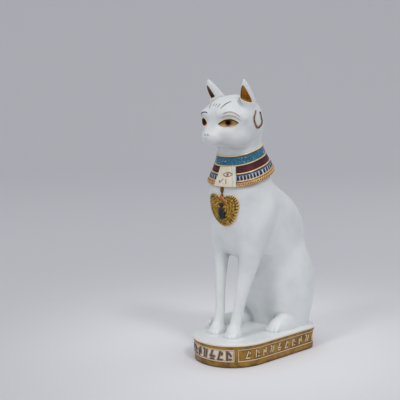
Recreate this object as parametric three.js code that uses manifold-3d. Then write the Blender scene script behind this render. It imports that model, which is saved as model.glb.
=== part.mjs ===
// Bastet cat figure: a seated cat in a broad collar with a heart pendant, cast with its plinth in one piece.
// Millimetres, +Z up. The cat looks along -Y and its left side is +X.
// The origin is the middle of the underside.
import * as THREE from 'three';
import { mergeVertices } from 'three/addons/utils/BufferGeometryUtils.js';
import Module from 'manifold-3d';

const wasm = await Module();
wasm.setup();

// Plinth. Its length and width follow the cat that sits on it
const plinthHeight = 17.2;
const plinthSideMargin = 0.5;
const plinthBackMargin = 0.2;
const frontEndDepth = 31;
const backEndDepth = 17.5;
const frontEndSquareness = 2.15;
const backEndSquareness = 2.6;
const topSlabHeight = 1.6;
const topSlabOverhang = 0.5;
const topSlabUndercut = 0.35;
const lipRounding = 0.8;
const baseTaper = 0.9;
const sidesPerEnd = 14;

// Framed panels sunk in the plinth's side band, with rows of raised strokes
const panelMargin = 1.9;
const panelDepth = 0.6;
const strokeHeight = 0.4;
const strokeWidth = 0.9;
const strokeRoot = 1.5;
const frontFigure = { width: 4.4, gap: 2 };
const sideFigure = { width: 5.6, gap: 3.2 };
const panelGap = 2.6;
const frontPanelLength = 34;
const backPanelLength = 23;

// The cat. Its free form is written in hundredths of its own height
const catHeight = 182.8;

// Broad collar, measured down the front of the neck
const collarBands = [
  { height: 5.5, raise: 0.7 },
  { height: 4.5, raise: 0.7 },
  { height: 3.9, raise: 0.7 },
];
const collarLineHeight = 0.8;
const collarLineRaise = 1.1;
const collarRimHeight = 3.2;
const collarRimRaise = 1.7;
const collarSlope = 0.3;
const collarPanelRaise = 1.3;
const collarSides = 24;

// Heart pendant on two links
const pendantWidth = 28.5;
const pendantHeight = 22.5;
const pendantRaise = 1.3;
const scarabWidth = 6.2;
const scarabLength = 9.4;
const scarabRaise = 1.6;
const linkWidth = 3.2;
const linkRaise = 1.5;

const share = catHeight / 100;
const up = (hundredths) => plinthHeight + hundredths * share;

// Trunk and neck: half width, widest line, front, back and the squareness of each
const trunkShape = stations([
  [-2.0, 11.5, 14.0, 7.5, 24.5, 2, 2.6],
  [1.6, 11.8, 14.0, 7.0, 25.2, 2, 2.6],
  [7.1, 12.2, 13.5, 4.5, 26.0, 2, 2.6],
  [15.3, 12.6, 12.5, 1.3, 26.3, 2, 2.6],
  [22.4, 12.8, 11.5, -0.4, 26.2, 2, 2.6],
  [26.5, 13.0, 10.4, -1.9, 25.5, 2, 2.5],
  [29.8, 13.0, 9.2, -6.5, 25.0, 2, 2.5],
  [32.2, 13.0, 8.2, -11.3, 25.0, 2, 2.5],
  [35.5, 13.0, 6.8, -13.9, 25.2, 2.1, 2.5],
  [40.5, 13.1, 4.8, -15.3, 24.7, 2.3, 2.5],
  [45.4, 13.1, 3.0, -16.0, 22.9, 2.5, 2.4],
  [49.2, 13.1, 0.8, -16.3, 20.1, 2.6, 2.3],
  [52.5, 13.1, -1.6, -16.4, 16.8, 2.65, 2.2],
  [55.7, 13.0, -4.2, -16.4, 12.3, 2.65, 2.1],
  [59.0, 12.7, -6.0, -16.3, 7.4, 2.5, 2],
  [62.3, 11.8, -6.4, -16.0, 5.2, 2.2, 2],
  [66.1, 10.3, -6.6, -15.2, 3.7, 2.3, 2],
  [70.5, 8.8, -6.7, -14.7, 2.2, 2.4, 2],
  [74.9, 8.2, -6.8, -14.5, 1.6, 2.4, 2],
  [79.2, 8.0, -7.1, -14.4, 1.1, 2.2, 2],
]);

// Thighs and haunches: x, y, half width, half length
const haunchShape = stations([
  [-2.0, 7.6, 15.2, 5.2, 7.0],
  [1.6, 7.8, 15.2, 5.7, 8.1],
  [6.0, 8.1, 15.1, 6.5, 9.3],
  [11.5, 8.2, 14.9, 7.2, 10.6],
  [18.0, 8.2, 14.3, 7.4, 11.4],
  [22.4, 8.1, 14.0, 7.35, 11.4],
  [25.6, 8.0, 13.7, 7.0, 10.9],
  [28.6, 7.8, 13.3, 6.2, 9.7],
  [31.4, 7.4, 12.8, 4.8, 7.4],
  [33.6, 7.0, 12.4, 2.2, 3.4],
]);

const farthest = (shape, reach) => Math.max(...shape.rows.map(reach)) * share;
const plinthWidth = 2 * (farthest(haunchShape, ([, x, , halfWidth]) => x + halfWidth) + plinthSideMargin);
const plinthLength = 2 * (farthest(trunkShape, ([, , , , back]) => back) + plinthBackMargin);

// Turns any closed geometry into a solid
function solid(geometry) {
  const bare = geometry.clone();
  bare.deleteAttribute('normal');
  bare.deleteAttribute('uv');
  const merged = mergeVertices(bare, 1e-4);
  return new wasm.Manifold(new wasm.Mesh({
    numProp: 3,
    vertProperties: new Float32Array(merged.attributes.position.array),
    triVerts: new Uint32Array(merged.index.array),
  }));
}

// The same form on the cat's right side, with its faces turned back outwards
function mirrored(geometry) {
  const other = geometry.clone().applyMatrix4(new THREE.Matrix4().makeScale(-1, 1, 1));
  const index = other.index.array;
  for (let i = 0; i < index.length; i += 3) {
    [index[i], index[i + 1]] = [index[i + 1], index[i]];
  }
  return other;
}

const bothSides = (geometry) => [solid(geometry), solid(mirrored(geometry))];

// Skin over rings of equal count, with a fan at each end. A ring runs anticlockwise seen from the last one.
function loft(rings) {
  const sides = rings[0].length;
  const positions = rings.flat().flatMap((point) => point.toArray());
  const index = [];
  for (let ring = 0; ring < rings.length - 1; ring += 1) {
    for (let side = 0; side < sides; side += 1) {
      const a = ring * sides + side;
      const b = ring * sides + (side + 1) % sides;
      index.push(a, b, b + sides, a, b + sides, a + sides);
    }
  }
  const lastRing = (rings.length - 1) * sides;
  for (const [start, ring, turn] of [[0, rings[0], 1], [lastRing, rings[rings.length - 1], 0]]) {
    const middle = ring.reduce((sum, point) => sum.add(point), new THREE.Vector3()).divideScalar(sides);
    const hub = positions.length / 3;
    positions.push(...middle.toArray());
    for (let side = 0; side < sides; side += 1) {
      const a = start + side;
      const b = start + (side + 1) % sides;
      index.push(hub, turn ? b : a, turn ? a : b);
    }
  }
  const geometry = new THREE.BufferGeometry();
  geometry.setAttribute('position', new THREE.Float32BufferAttribute(positions, 3));
  geometry.setIndex(index);
  return geometry;
}

// Smooth values between the rows of a short table whose first column rises
function stations(table) {
  const columns = table[0].length - 1;
  const keys = table.map((row) => row[0]);
  const values = table.flatMap((row) => row.slice(1));
  const curve = new THREE.CubicInterpolant(keys, values, columns, new Float32Array(columns));
  return {
    rows: table,
    first: keys[0],
    last: keys[keys.length - 1],
    at: (key) => Array.from(curve.evaluate(key)),
  };
}

// Evenly spaced keys over a table, both ends included
function keysOver(shape, steps) {
  return Array.from({ length: steps + 1 }, (_, i) => shape.first + (shape.last - shape.first) * i / steps);
}

const power = (value, exponent) => Math.sign(value) * Math.abs(value) ** exponent;

// Level section with its own depth and squareness to the front and to the back of its widest line
function section(height, [halfWidth, widest, front, back, frontSquare, backSquare], sides) {
  return Array.from({ length: sides }, (_, i) => {
    const angle = (i / sides) * 2 * Math.PI;
    const behind = Math.sin(angle) > 0;
    const exponent = 2 / (behind ? backSquare : frontSquare);
    const depth = behind ? back - widest : widest - front;
    return new THREE.Vector3(
      power(Math.cos(angle), exponent) * halfWidth * share,
      (widest + power(Math.sin(angle), exponent) * depth) * share,
      up(height),
    );
  });
}

// Oval section turned about the vertical
function turnedOval(height, [x, y, along, across], turn, sides) {
  return Array.from({ length: sides }, (_, i) => {
    const angle = (i / sides) * 2 * Math.PI;
    const a = Math.cos(angle) * along;
    const b = Math.sin(angle) * across;
    return new THREE.Vector3(
      (x + a * Math.cos(turn) - b * Math.sin(turn)) * share,
      (y + a * Math.sin(turn) + b * Math.cos(turn)) * share,
      up(height),
    );
  });
}

// Half of an ellipsoid over straight walls that go down into the plinth, so that nothing is undercut
function dome([x, y, z], [rx, ry, rz], yaw, sides) {
  const rings = [[-1.2, 1], [z, 1], [z + rz * 0.6, 0.8], [z + rz * 0.94, 0.34]];
  return loft(rings.map(([height, scale]) => (
    turnedOval(height, [x, y, rx * scale, ry * scale], yaw, sides))));
}

// Plinth outline: straight sides between two rounded ends, as a point for each place along it
function outlinePoint(angle, inset) {
  const halfWidth = plinthWidth / 2 - inset;
  const atBack = Math.sin(angle) > 0;
  const depth = (atBack ? backEndDepth : frontEndDepth) - inset;
  const square = 2 / (atBack ? backEndSquareness : frontEndSquareness);
  const straightEnd = atBack ? plinthLength / 2 - backEndDepth : frontEndDepth - plinthLength / 2;
  return new THREE.Vector2(
    power(Math.cos(angle), square) * halfWidth,
    straightEnd + power(Math.sin(angle), square) * depth,
  );
}

function outlineRing(height, inset) {
  const points = [];
  for (const start of [0, Math.PI]) {
    for (let step = 0; step <= sidesPerEnd; step += 1) {
      const angle = start + (step / sidesPerEnd) * Math.PI;
      const nudge = step === 0 ? 1e-6 : step === sidesPerEnd ? -1e-6 : 0;
      const point = outlinePoint(angle + nudge, inset);
      points.push(new THREE.Vector3(point.x, point.y, height));
    }
  }
  return points;
}

// The outline's true lengths, so that panels and strokes are laid out along it from the middle of the front
const bandTop = plinthHeight - topSlabHeight;
const bandInset = (height) => topSlabOverhang + baseTaper * (1 - height / bandTop);
const bandLoop = (() => {
  const steps = 240;
  const points = Array.from({ length: steps + 1 }, (_, i) => {
    const angle = -Math.PI / 2 + (i / steps) * Math.PI;
    return outlinePoint(angle === 0 ? 1e-6 : angle, topSlabOverhang);
  });
  const along = [0];
  for (let i = 1; i <= steps; i += 1) {
    along.push(along[i - 1] + points[i].distanceTo(points[i - 1]));
  }
  return { points, along, half: along[steps] };
})();

// Point of the side band: distance round from the front, height, and how far out of the surface
function bandPoint(distance, height, out) {
  const side = Math.sign(distance) || 1;
  const wanted = Math.min(Math.abs(distance), bandLoop.half - 1e-3);
  const after = bandLoop.along.findIndex((value) => value > wanted);
  const span = bandLoop.along[after] - bandLoop.along[after - 1];
  const part = (wanted - bandLoop.along[after - 1]) / span;
  const point = bandLoop.points[after - 1].clone().lerp(bandLoop.points[after], part);
  const run = bandLoop.points[after].clone().sub(bandLoop.points[after - 1]).normalize();
  const offset = out - baseTaper * (1 - height / bandTop);
  return new THREE.Vector3(side * (point.x + run.y * offset), point.y - run.x * offset, height);
}

// Slab that follows the band between two distances, from one depth to another
function bandSlab(from, to, low, high, inner, outer, steps) {
  const rings = Array.from({ length: steps + 1 }, (_, i) => {
    const distance = from + (to - from) * i / steps;
    return [[low, inner], [high, inner], [high, outer], [low, outer]]
      .map(([height, out]) => bandPoint(distance, height, out));
  });
  return loft(rings);
}

// Plinth body with its white top standing over the band, its lip a quarter round
function plinth() {
  const lip = [0, Math.PI / 4, Math.PI / 2].map((angle) => outlineRing(
    plinthHeight - lipRounding * (1 - Math.sin(angle)),
    lipRounding * (1 - Math.cos(angle)),
  ));
  return loft([
    outlineRing(0, bandInset(0)),
    outlineRing(bandTop, bandInset(bandTop)),
    outlineRing(bandTop, topSlabOverhang - topSlabUndercut),
    ...lip,
  ]);
}

// Stroke figures in a unit box, as pairs of ends: plain generic marks in place of an inscription
const strokeFigures = [
  [[[0.3, 0], [0.3, 1]], [[0.6, 0.85], [0.95, 0.5]]],
  [[[0.05, 0.35], [0.95, 0.35]], [[0.3, 0.45], [0.6, 1]]],
  [[[0.2, 0], [0.2, 0.8]], [[0.75, 0.3], [0.75, 1]]],
  [[[0.1, 0.05], [0.9, 0.05]], [[0.25, 0.2], [0.6, 0.95]]],
  [[[0.1, 0.1], [0.4, 0.9]], [[0.6, 0.1], [0.9, 0.9]]],
];

// One stroke on the band as a short bar, between two ends given along and up the band
function strokeBar([fromAlong, fromUp], [toAlong, toUp]) {
  const run = new THREE.Vector2(toAlong - fromAlong, toUp - fromUp).normalize();
  const half = strokeWidth / 2;
  const foot = -panelDepth - strokeRoot;
  const top = strokeHeight - panelDepth;
  const corners = [[0, -1], [1, -1], [1, 1], [0, 1]].map(([end, edge]) => [
    (end ? toAlong : fromAlong) - run.y * half * edge,
    (end ? toUp : fromUp) + run.x * half * edge,
  ]);
  return loft([foot, top].map((out) => corners.map(([along, height]) => bandPoint(along, height, out))));
}

// Where the panels start and end along the band: three with strokes, and two bare ones at the back
function panelSpans() {
  const frontEnd = frontPanelLength / 2;
  const backEnd = bandLoop.half - panelGap / 2;
  const backStart = backEnd - backPanelLength;
  const sideStart = frontEnd + panelGap;
  const sideEnd = backStart - panelGap;
  return {
    withStrokes: [
      { span: [-frontEnd, frontEnd], figure: frontFigure },
      { span: [sideStart, sideEnd], figure: sideFigure },
      { span: [-sideEnd, -sideStart], figure: sideFigure },
    ],
    bare: [[backStart, backEnd], [-backEnd, -backStart]],
  };
}

// Row of stroke figures that fills a panel
function strokeRow({ span: [start, end], figure }) {
  const low = panelMargin + strokeWidth;
  const high = bandTop - panelMargin - strokeWidth;
  const pitch = figure.width + figure.gap;
  const count = Math.floor((end - start - figure.gap) / pitch);
  const first = (start + end - (count * pitch - figure.gap)) / 2;
  const bars = [];
  for (let i = 0; i < count; i += 1) {
    for (const ends of strokeFigures[(i * 2 + 3) % strokeFigures.length]) {
      const [a, b] = ends.map(([u, v]) => [
        first + i * pitch + u * figure.width,
        low + v * (high - low),
      ]);
      bars.push(solid(strokeBar(a, b)));
    }
  }
  return bars;
}

// The sunk panels as cutters, and the bars that stand in them
function bandPanels() {
  const { withStrokes, bare } = panelSpans();
  const cut = ([start, end], steps) => solid(
    bandSlab(start, end, panelMargin, bandTop - panelMargin, -panelDepth, topSlabOverhang * 4, steps));
  return {
    cuts: [...withStrokes.map(({ span }) => cut(span, 8)), ...bare.map((span) => cut(span, 6))],
    bars: withStrokes.flatMap(strokeRow),
  };
}

function trunk() {
  return loft(keysOver(trunkShape, 19).map((height) => section(height, trunkShape.at(height), 26)));
}

function haunch() {
  return loft(keysOver(haunchShape, 8).map((height) => turnedOval(height, haunchShape.at(height), 0, 16)));
}

// Shoulder and front leg: x, y, long and short half width, with the long one towards the elbow
const forelegShape = stations([
  [1.0, 4.6, -15.3, 2.5, 2.3],
  [3.8, 4.6, -14.5, 2.3, 2.1],
  [9.3, 4.9, -13.1, 2.1, 1.9],
  [18.0, 6.2, -11.8, 2.7, 2.1],
  [24.6, 7.1, -10.5, 3.4, 2.5],
  [30.1, 7.9, -9.5, 4.1, 3.1],
  [35.5, 8.2, -8.9, 4.9, 4.1],
  [41.0, 8.2, -7.9, 6.2, 5.3],
  [46.4, 8.1, -6.7, 7.0, 5.9],
  [51.0, 7.6, -5.7, 7.3, 6.0],
  [55.0, 6.9, -5.4, 6.2, 5.1],
  [58.5, 6.1, -5.6, 4.2, 3.6],
  [61.0, 5.4, -5.9, 1.8, 1.5],
]);
const elbowTurn = Math.PI / 4;

function foreleg() {
  return loft(keysOver(forelegShape, 12)
    .map((height) => turnedOval(height, forelegShape.at(height), elbowTurn, 10)));
}

// A paw: a low rounded instep with four toes fanned across its front
function paw({ x, y, length, halfWidth, height, toeReach, toeHeight }) {
  const forms = [dome([x, y, height * 0.4], [halfWidth, length / 2, height * 0.6], 0, 10)];
  for (let toe = 0; toe < 4; toe += 1) {
    const spread = (toe - 1.5) / 1.5;
    const toeX = x + spread * halfWidth * 0.68;
    const toeY = y - toeReach + Math.abs(spread) * halfWidth * 0.28;
    forms.push(dome([toeX, toeY, toeHeight * 0.35], [halfWidth * 0.33, halfWidth * 0.62, toeHeight * 0.65],
      spread * 0.16, 6));
  }
  return forms;
}

const frontPaw = {
  x: 4.6, y: -16.4, length: 7.6, halfWidth: 3.3, height: 4.9, toeReach: 2.6, toeHeight: 4,
};
const hindPaw = {
  x: 9.9, y: 0.6, length: 9.2, halfWidth: 3.3, height: 4.6, toeReach: 2.9, toeHeight: 4.2,
};
const hock = { centre: [10.8, 6.0, 2.4], radii: [3.2, 4.2, 5.0] };

const tailRadius = 2.3;
const tailTaper = 0.35;
const tailTipLength = 0.09;
const tailRoot = 1.5;

// Tail: an arch laid round the right haunch, its feet in the plinth, its rounded tip beside the front paw
function tail() {
  const route = new THREE.CatmullRomCurve3([
    [-2, 22.4, 2.4], [-8.5, 21.4, 2.1], [-12, 16.8, 2], [-13.2, 11, 1.9],
    [-13.2, 4.5, 1.9], [-12.9, -2, 1.9], [-12, -8.5, 2.1], [-10.7, -13.2, 2.9],
  ].map(([x, y, z]) => new THREE.Vector3(x * share, y * share, up(z))));
  const steps = 15;
  const radiusAt = (t) => share * (tailRadius - tailTaper * t)
    * Math.sqrt(Math.min(1, (1 + tailTipLength / 3 - t) / tailTipLength));
  const rings = [];
  for (let i = 0; i <= steps; i += 1) {
    const t = i / steps;
    const centre = route.getPointAt(t);
    const run = route.getTangentAt(t);
    const across = new THREE.Vector3(0, 0, 1).cross(run).normalize();
    const above = run.clone().cross(across);
    const arch = Array.from({ length: 5 }, (_, j) => {
      const angle = (j / 4) * Math.PI;
      return centre.clone()
        .addScaledVector(across, Math.cos(angle) * radiusAt(t))
        .addScaledVector(above, Math.sin(angle) * radiusAt(t));
    });
    const feet = [arch[4], arch[0]]
      .map((point) => new THREE.Vector3(point.x, point.y, plinthHeight - tailRoot));
    rings.push([...arch, ...feet]);
  }
  return loft(rings);
}

// Skull from jaw to crown: half width, widest line, front, back and squareness
const skullShape = stations([
  [73.6, 7.1, -8.2, -14.8, 0.0, 2, 2],
  [75.6, 8.6, -8.7, -17.0, 0.6, 2.1, 2],
  [77.6, 9.7, -9.0, -19.6, 1.2, 2.4, 2],
  [80.3, 10.7, -9.3, -20.9, 1.6, 2.9, 2],
  [83.6, 11.0, -9.3, -21.3, 1.5, 3.3, 2],
  [86.9, 10.7, -9.3, -21.1, 0.8, 3.1, 2],
  [89.6, 9.3, -9.3, -19.9, -0.3, 2.4, 2],
  [91.8, 7.2, -9.3, -17.4, -2.7, 2.1, 2],
  [93.2, 4.9, -9.6, -13.9, -5.2, 2, 2],
  [93.9, 1.6, -9.8, -11.2, -8.5, 2, 2],
]);

function skull() {
  return loft(keysOver(skullShape, 12).map((height) => section(height, skullShape.at(height), 24)));
}

// Muzzle: rings stepping forward from the face, each with a middle height, half width, top and bottom
const muzzleShape = stations([
  [12, 80.0, 9.0, 5.6, 4.6],
  [16, 79.6, 8.2, 5.5, 4.0],
  [19, 79.0, 6.7, 4.9, 3.5],
  [21.4, 78.4, 5.1, 3.8, 3.0],
  [23.3, 78.0, 4.0, 2.9, 2.5],
  [24.6, 78.0, 2.8, 2.1, 1.8],
  [25.2, 78.3, 1.4, 1.1, 1.2],
]);

function muzzle() {
  return loft(keysOver(muzzleShape, 6).map((forward) => {
    const [middle, halfWidth, top, bottom] = muzzleShape.at(forward);
    return Array.from({ length: 14 }, (_, i) => {
      const angle = (i / 14) * 2 * Math.PI;
      const rise = Math.sin(angle);
      return new THREE.Vector3(
        Math.cos(angle) * halfWidth * share,
        -forward * share,
        up(middle + rise * (rise > 0 ? top : bottom)),
      );
    });
  }));
}

// Ear: a leaning cone with a hollow scooped out of its front
const ear = {
  base: [7.0, -8.5, 88.6], tip: [9.7, -14.4, 99.7], halfWidth: 2.9, halfDepth: 3.6, faceTurn: 0.56,
};

function earCone(grow, shift, lift) {
  const base = new THREE.Vector3(...ear.base);
  const tip = new THREE.Vector3(...ear.tip);
  const across = new THREE.Vector3(Math.cos(ear.faceTurn), Math.sin(ear.faceTurn), 0);
  const forward = new THREE.Vector3(Math.sin(ear.faceTurn), -Math.cos(ear.faceTurn), 0);
  const rings = Array.from({ length: 6 }, (_, i) => {
    const t = i / 5;
    const swell = (1 - t ** 2) ** 0.8 * 0.86 + 0.14;
    const centre = base.clone().lerp(tip, t * lift).addScaledVector(forward, shift * (1 - 0.3 * t));
    return Array.from({ length: 10 }, (_, j) => {
      const angle = (j / 10) * 2 * Math.PI;
      const point = centre.clone()
        .addScaledVector(across, Math.cos(angle) * ear.halfWidth * swell * grow)
        .addScaledVector(forward, -Math.sin(angle) * ear.halfDepth * swell * grow);
      return new THREE.Vector3(point.x * share, point.y * share, up(point.z));
    });
  });
  return loft(rings);
}

// Front of the trunk or skull at a place across and up, for what is laid on it
function frontOf(shape, x, z) {
  const [halfWidth, widest, front, , square] = shape.at((z - plinthHeight) / share);
  const across = Math.min(Math.abs(x) / (halfWidth * share), 0.98);
  return (widest - (widest - front) * (1 - across ** square) ** (1 / square)) * share;
}

const onChest = (x, z, out) => new THREE.Vector3(x, frontOf(trunkShape, x, z) - out, z);
const onFace = (x, z, out) => new THREE.Vector3(x, frontOf(skullShape, x, z) - out, z);

// Low form laid on a surface: an outline shrunk in steps towards its middle, rising by a profile
function overlay(outline, middle, profile, place, depth) {
  const ringAt = (scale, out) => outline.map(([x, z]) => place(
    middle[0] + (x - middle[0]) * scale,
    middle[1] + (z - middle[1]) * scale,
    out,
  ));
  const under = [0.5, 1].map((scale) => ringAt(scale, -depth));
  const over = profile.map(([scale, out]) => ringAt(scale, out));
  return loft([...under, ...over]);
}

// Heart outline, anticlockwise seen from the front so that the rings face out
function heartOutline(count) {
  return Array.from({ length: count }, (_, i) => {
    const a = -(i / count) * 2 * Math.PI;
    const lobes = Math.abs(Math.sin(a)) ** 1.15 * Math.sign(Math.sin(a));
    const notch = 0.1 * Math.exp(-((Math.sin(a / 2) / 0.16) ** 2));
    const rise = 0.52 * Math.cos(a) - 0.12 * Math.cos(2 * a) - 0.03 * Math.cos(3 * a) + 0.09 - notch;
    return [lobes * pendantWidth / 2, rise * pendantHeight];
  });
}

const pendantMiddle = up(50.1);

function pendant() {
  const heart = heartOutline(24).map(([x, z]) => [x, pendantMiddle + z]);
  const plate = overlay(heart, [0, pendantMiddle], [
    [1, pendantRaise * 0.6], [0.96, pendantRaise], [0.86, pendantRaise * 0.8],
    [0.72, pendantRaise], [0.6, pendantRaise * 0.75], [0.3, pendantRaise * 0.9],
  ], onChest, 2);
  const scarabMiddle = pendantMiddle - pendantHeight * 0.1;
  const ovalSides = 8;
  const oval = (halfWidth, halfLength, z) => Array.from({ length: ovalSides }, (_, i) => {
    const angle = (i / ovalSides) * 2 * Math.PI;
    return [Math.cos(angle) * halfWidth, z + Math.sin(angle) * halfLength];
  });
  const rounded = (height) => [[1, height * 0.5], [0.8, height * 0.85], [0.35, height]];
  const body = overlay(oval(scarabWidth / 2, scarabLength / 2, scarabMiddle), [0, scarabMiddle],
    rounded(pendantRaise + scarabRaise), onChest, 1);
  const headMiddle = scarabMiddle + scarabLength / 2 + 1;
  const head = overlay(oval(scarabWidth * 0.32, 1.6, headMiddle), [0, headMiddle],
    rounded(pendantRaise + scarabRaise * 0.8), onChest, 1);
  return [plate, body, head].map(solid);
}

// Collar profile from top to bottom: distance down the slope of the collar, and how far it stands out
const collarProfile = (() => {
  const rows = [];
  let down = 0;
  const step = (height, raise) => {
    rows.push([down, raise]);
    down += height;
    rows.push([down, raise]);
    down += 0.05;
  };
  step(collarLineHeight, collarLineRaise);
  for (const { height, raise } of collarBands) {
    step(height, raise);
    step(collarLineHeight, collarLineRaise);
  }
  rows.push([down, collarRimRaise * 0.75]);
  rows.push([down + collarRimHeight * 0.35, collarRimRaise]);
  rows.push([down + collarRimHeight * 0.7, collarRimRaise]);
  down += collarRimHeight;
  rows.push([down, collarRimRaise * 0.6]);
  return { rows, length: down };
})();

// Inner form of the collar down its length: half width, widest line, front, back, squareness of the front
const collarShape = stations([
  [0, 8.2, -6.6, -14.7, 1.7, 2.4],
  [0.33, 9.5, -6.6, -15.1, 3.0, 2.45],
  [0.59, 10.9, -6.6, -15.5, 4.4, 2.5],
  [0.82, 12.1, -6.6, -15.9, 5.5, 2.55],
  [1, 12.8, -6.6, -16.1, 6.0, 2.6],
]);
const collarTop = up(73.2);

// Point of the collar: angle round from the cat's left, distance down, and how far out
function collarPoint(angle, down, out) {
  const [halfWidth, widest, front, back, square] = collarShape.at(down / collarProfile.length);
  const behind = Math.sin(angle) > 0;
  const depth = behind ? back - widest : widest - front;
  const bend = behind ? 1 : 2 / square;
  const x = power(Math.cos(angle), bend) * (halfWidth * share + out);
  const y = widest * share + power(Math.sin(angle), bend) * (depth * share + out);
  return new THREE.Vector3(x, y, collarTop - down + collarSlope * (y - widest * share));
}

function collar() {
  const ringAt = (down, out) => Array.from({ length: collarSides }, (_, i) => (
    collarPoint((i / collarSides) * 2 * Math.PI, down, out)));
  const rings = collarProfile.rows.map(([down, out]) => ringAt(down, out));
  return loft([...rings].reverse());
}

// White panel over the collar's front, from under its top band to the rim
const collarPanel = { topFrom: -96, topTo: -58, bottomFrom: -101, bottomTo: -60 };

function panelSlab() {
  const top = collarLineHeight * 2 + collarBands[0].height;
  const bottom = collarProfile.length - collarRimHeight * 0.15;
  const steps = 6;
  const degrees = THREE.MathUtils.degToRad;
  const rings = Array.from({ length: steps + 1 }, (_, i) => {
    const part = i / steps;
    const topAngle = degrees(THREE.MathUtils.lerp(collarPanel.topFrom, collarPanel.topTo, part));
    const bottomAngle = degrees(THREE.MathUtils.lerp(collarPanel.bottomFrom, collarPanel.bottomTo, part));
    return [[topAngle, top, -1], [topAngle, top, collarPanelRaise + 0.3],
      [bottomAngle, bottom, collarPanelRaise + 0.6], [bottomAngle, bottom, -1]]
      .map(([angle, down, out]) => collarPoint(angle, down, out));
  });
  return loft(rings);
}

// Two links from the collar to the heart's notch
function links() {
  const linkSides = 8;
  const top = collarPoint(-Math.PI / 2, collarProfile.length, 0).z;
  const bottom = pendantMiddle + pendantHeight * 0.34;
  return [0.28, 0.8].map((part) => {
    const z = THREE.MathUtils.lerp(top, bottom, part);
    const half = (top - bottom) * 0.3;
    const ring = Array.from({ length: linkSides }, (_, i) => {
      const angle = (i / linkSides) * 2 * Math.PI;
      return [Math.cos(angle) * linkWidth / 2, z + Math.sin(angle) * half];
    });
    return solid(overlay(ring, [0, z], [[1, linkRaise * 0.6], [0.6, linkRaise]], onChest, 1.5));
  });
}

// Eyes: almond forms standing out of shallow sockets
const eye = { x: 6.4, z: 83.4, halfLength: 3.0, halfHeight: 1.35, raise: 0.3, rise: 0.05 };

function almond(grow) {
  const count = 14;
  return Array.from({ length: count }, (_, i) => {
    const angle = (i / count) * 2 * Math.PI;
    const along = Math.cos(angle) * eye.halfLength * grow;
    const height = power(Math.sin(angle), 1.25) * eye.halfHeight * grow;
    return [(eye.x + along) * share, up(eye.z + height + along * eye.rise)];
  });
}

function eyes() {
  const middle = [eye.x * share, up(eye.z)];
  const raise = eye.raise * share;
  const lids = overlay(almond(1.12), middle, [[1, raise], [0.84, raise * 1.3], [0.78, raise * 0.4],
    [0.35, raise * 1.3]], onFace, 1.5);
  return bothSides(lids);
}

// Drop-shaped ring lying against the cheek under each ear
const earring = {
  y: -8.2, z: 84.6, halfWidth: 2.2, halfHeight: 3.3, wire: 0.42, gap: 0.3, narrowing: 0.28,
};

function earringLoop() {
  const steps = 12;
  const rings = Array.from({ length: steps + 1 }, (_, i) => {
    const angle = Math.PI / 2 + earring.gap + (i / steps) * 2 * (Math.PI - earring.gap);
    const narrow = 1 - earring.narrowing * Math.max(0, Math.sin(angle));
    const out = new THREE.Vector2(Math.cos(angle), Math.sin(angle));
    const y = earring.y + out.x * earring.halfWidth * narrow;
    const z = earring.z + out.y * earring.halfHeight;
    const [halfWidth, widest, front, back] = skullShape.at(z);
    const depth = y > widest ? back - widest : widest - front;
    const x = halfWidth * Math.sqrt(Math.max(0, 1 - ((y - widest) / depth) ** 2));
    return Array.from({ length: 5 }, (_, j) => {
      const turn = -(j / 5) * 2 * Math.PI;
      const spread = Math.cos(turn) * earring.wire;
      return new THREE.Vector3(
        (x + Math.sin(turn) * earring.wire * 1.3) * share,
        (y + out.x * spread) * share,
        up(z + out.y * spread),
      );
    });
  });
  return loft(rings);
}

// Joins the whole casting and returns it as one mesh
function figure() {
  const { cuts, bars } = bandPanels();
  let body = solid(plinth());
  for (const cut of cuts) body = body.subtract(cut);
  const forms = [
    ...bars,
    solid(trunk()),
    ...bothSides(haunch()),
    ...bothSides(foreleg()),
    ...paw(frontPaw).flatMap(bothSides),
    ...paw(hindPaw).flatMap(bothSides),
    ...bothSides(dome(hock.centre, hock.radii, 0, 10)),
    solid(tail()),
    solid(skull()),
    solid(muzzle()),
    solid(collar()),
    solid(panelSlab()),
    ...pendant(),
    ...links(),
    ...eyes(),
    ...bothSides(earringLoop()),
  ];
  for (const form of forms) body = body.add(form);
  for (const cone of bothSides(earCone(1, 0, 1))) body = body.add(cone);
  for (const hollow of bothSides(earCone(0.8, 2.6, 0.76))) body = body.subtract(hollow);
  const mesh = body.getMesh();
  const geometry = new THREE.BufferGeometry();
  geometry.setAttribute('position', new THREE.BufferAttribute(new Float32Array(mesh.vertProperties), 3));
  geometry.setIndex(new THREE.BufferAttribute(new Uint32Array(mesh.triVerts), 1));
  geometry.computeVertexNormals();
  return geometry;
}

const whitePaint = new THREE.MeshStandardMaterial({ color: 0xdfe2e2, roughness: 0.45, metalness: 0 });
const cat = new THREE.Mesh(figure(), whitePaint);
cat.name = 'bastet_cat_casting';

const model = new THREE.Group();
model.add(cat);

export default model;
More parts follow.
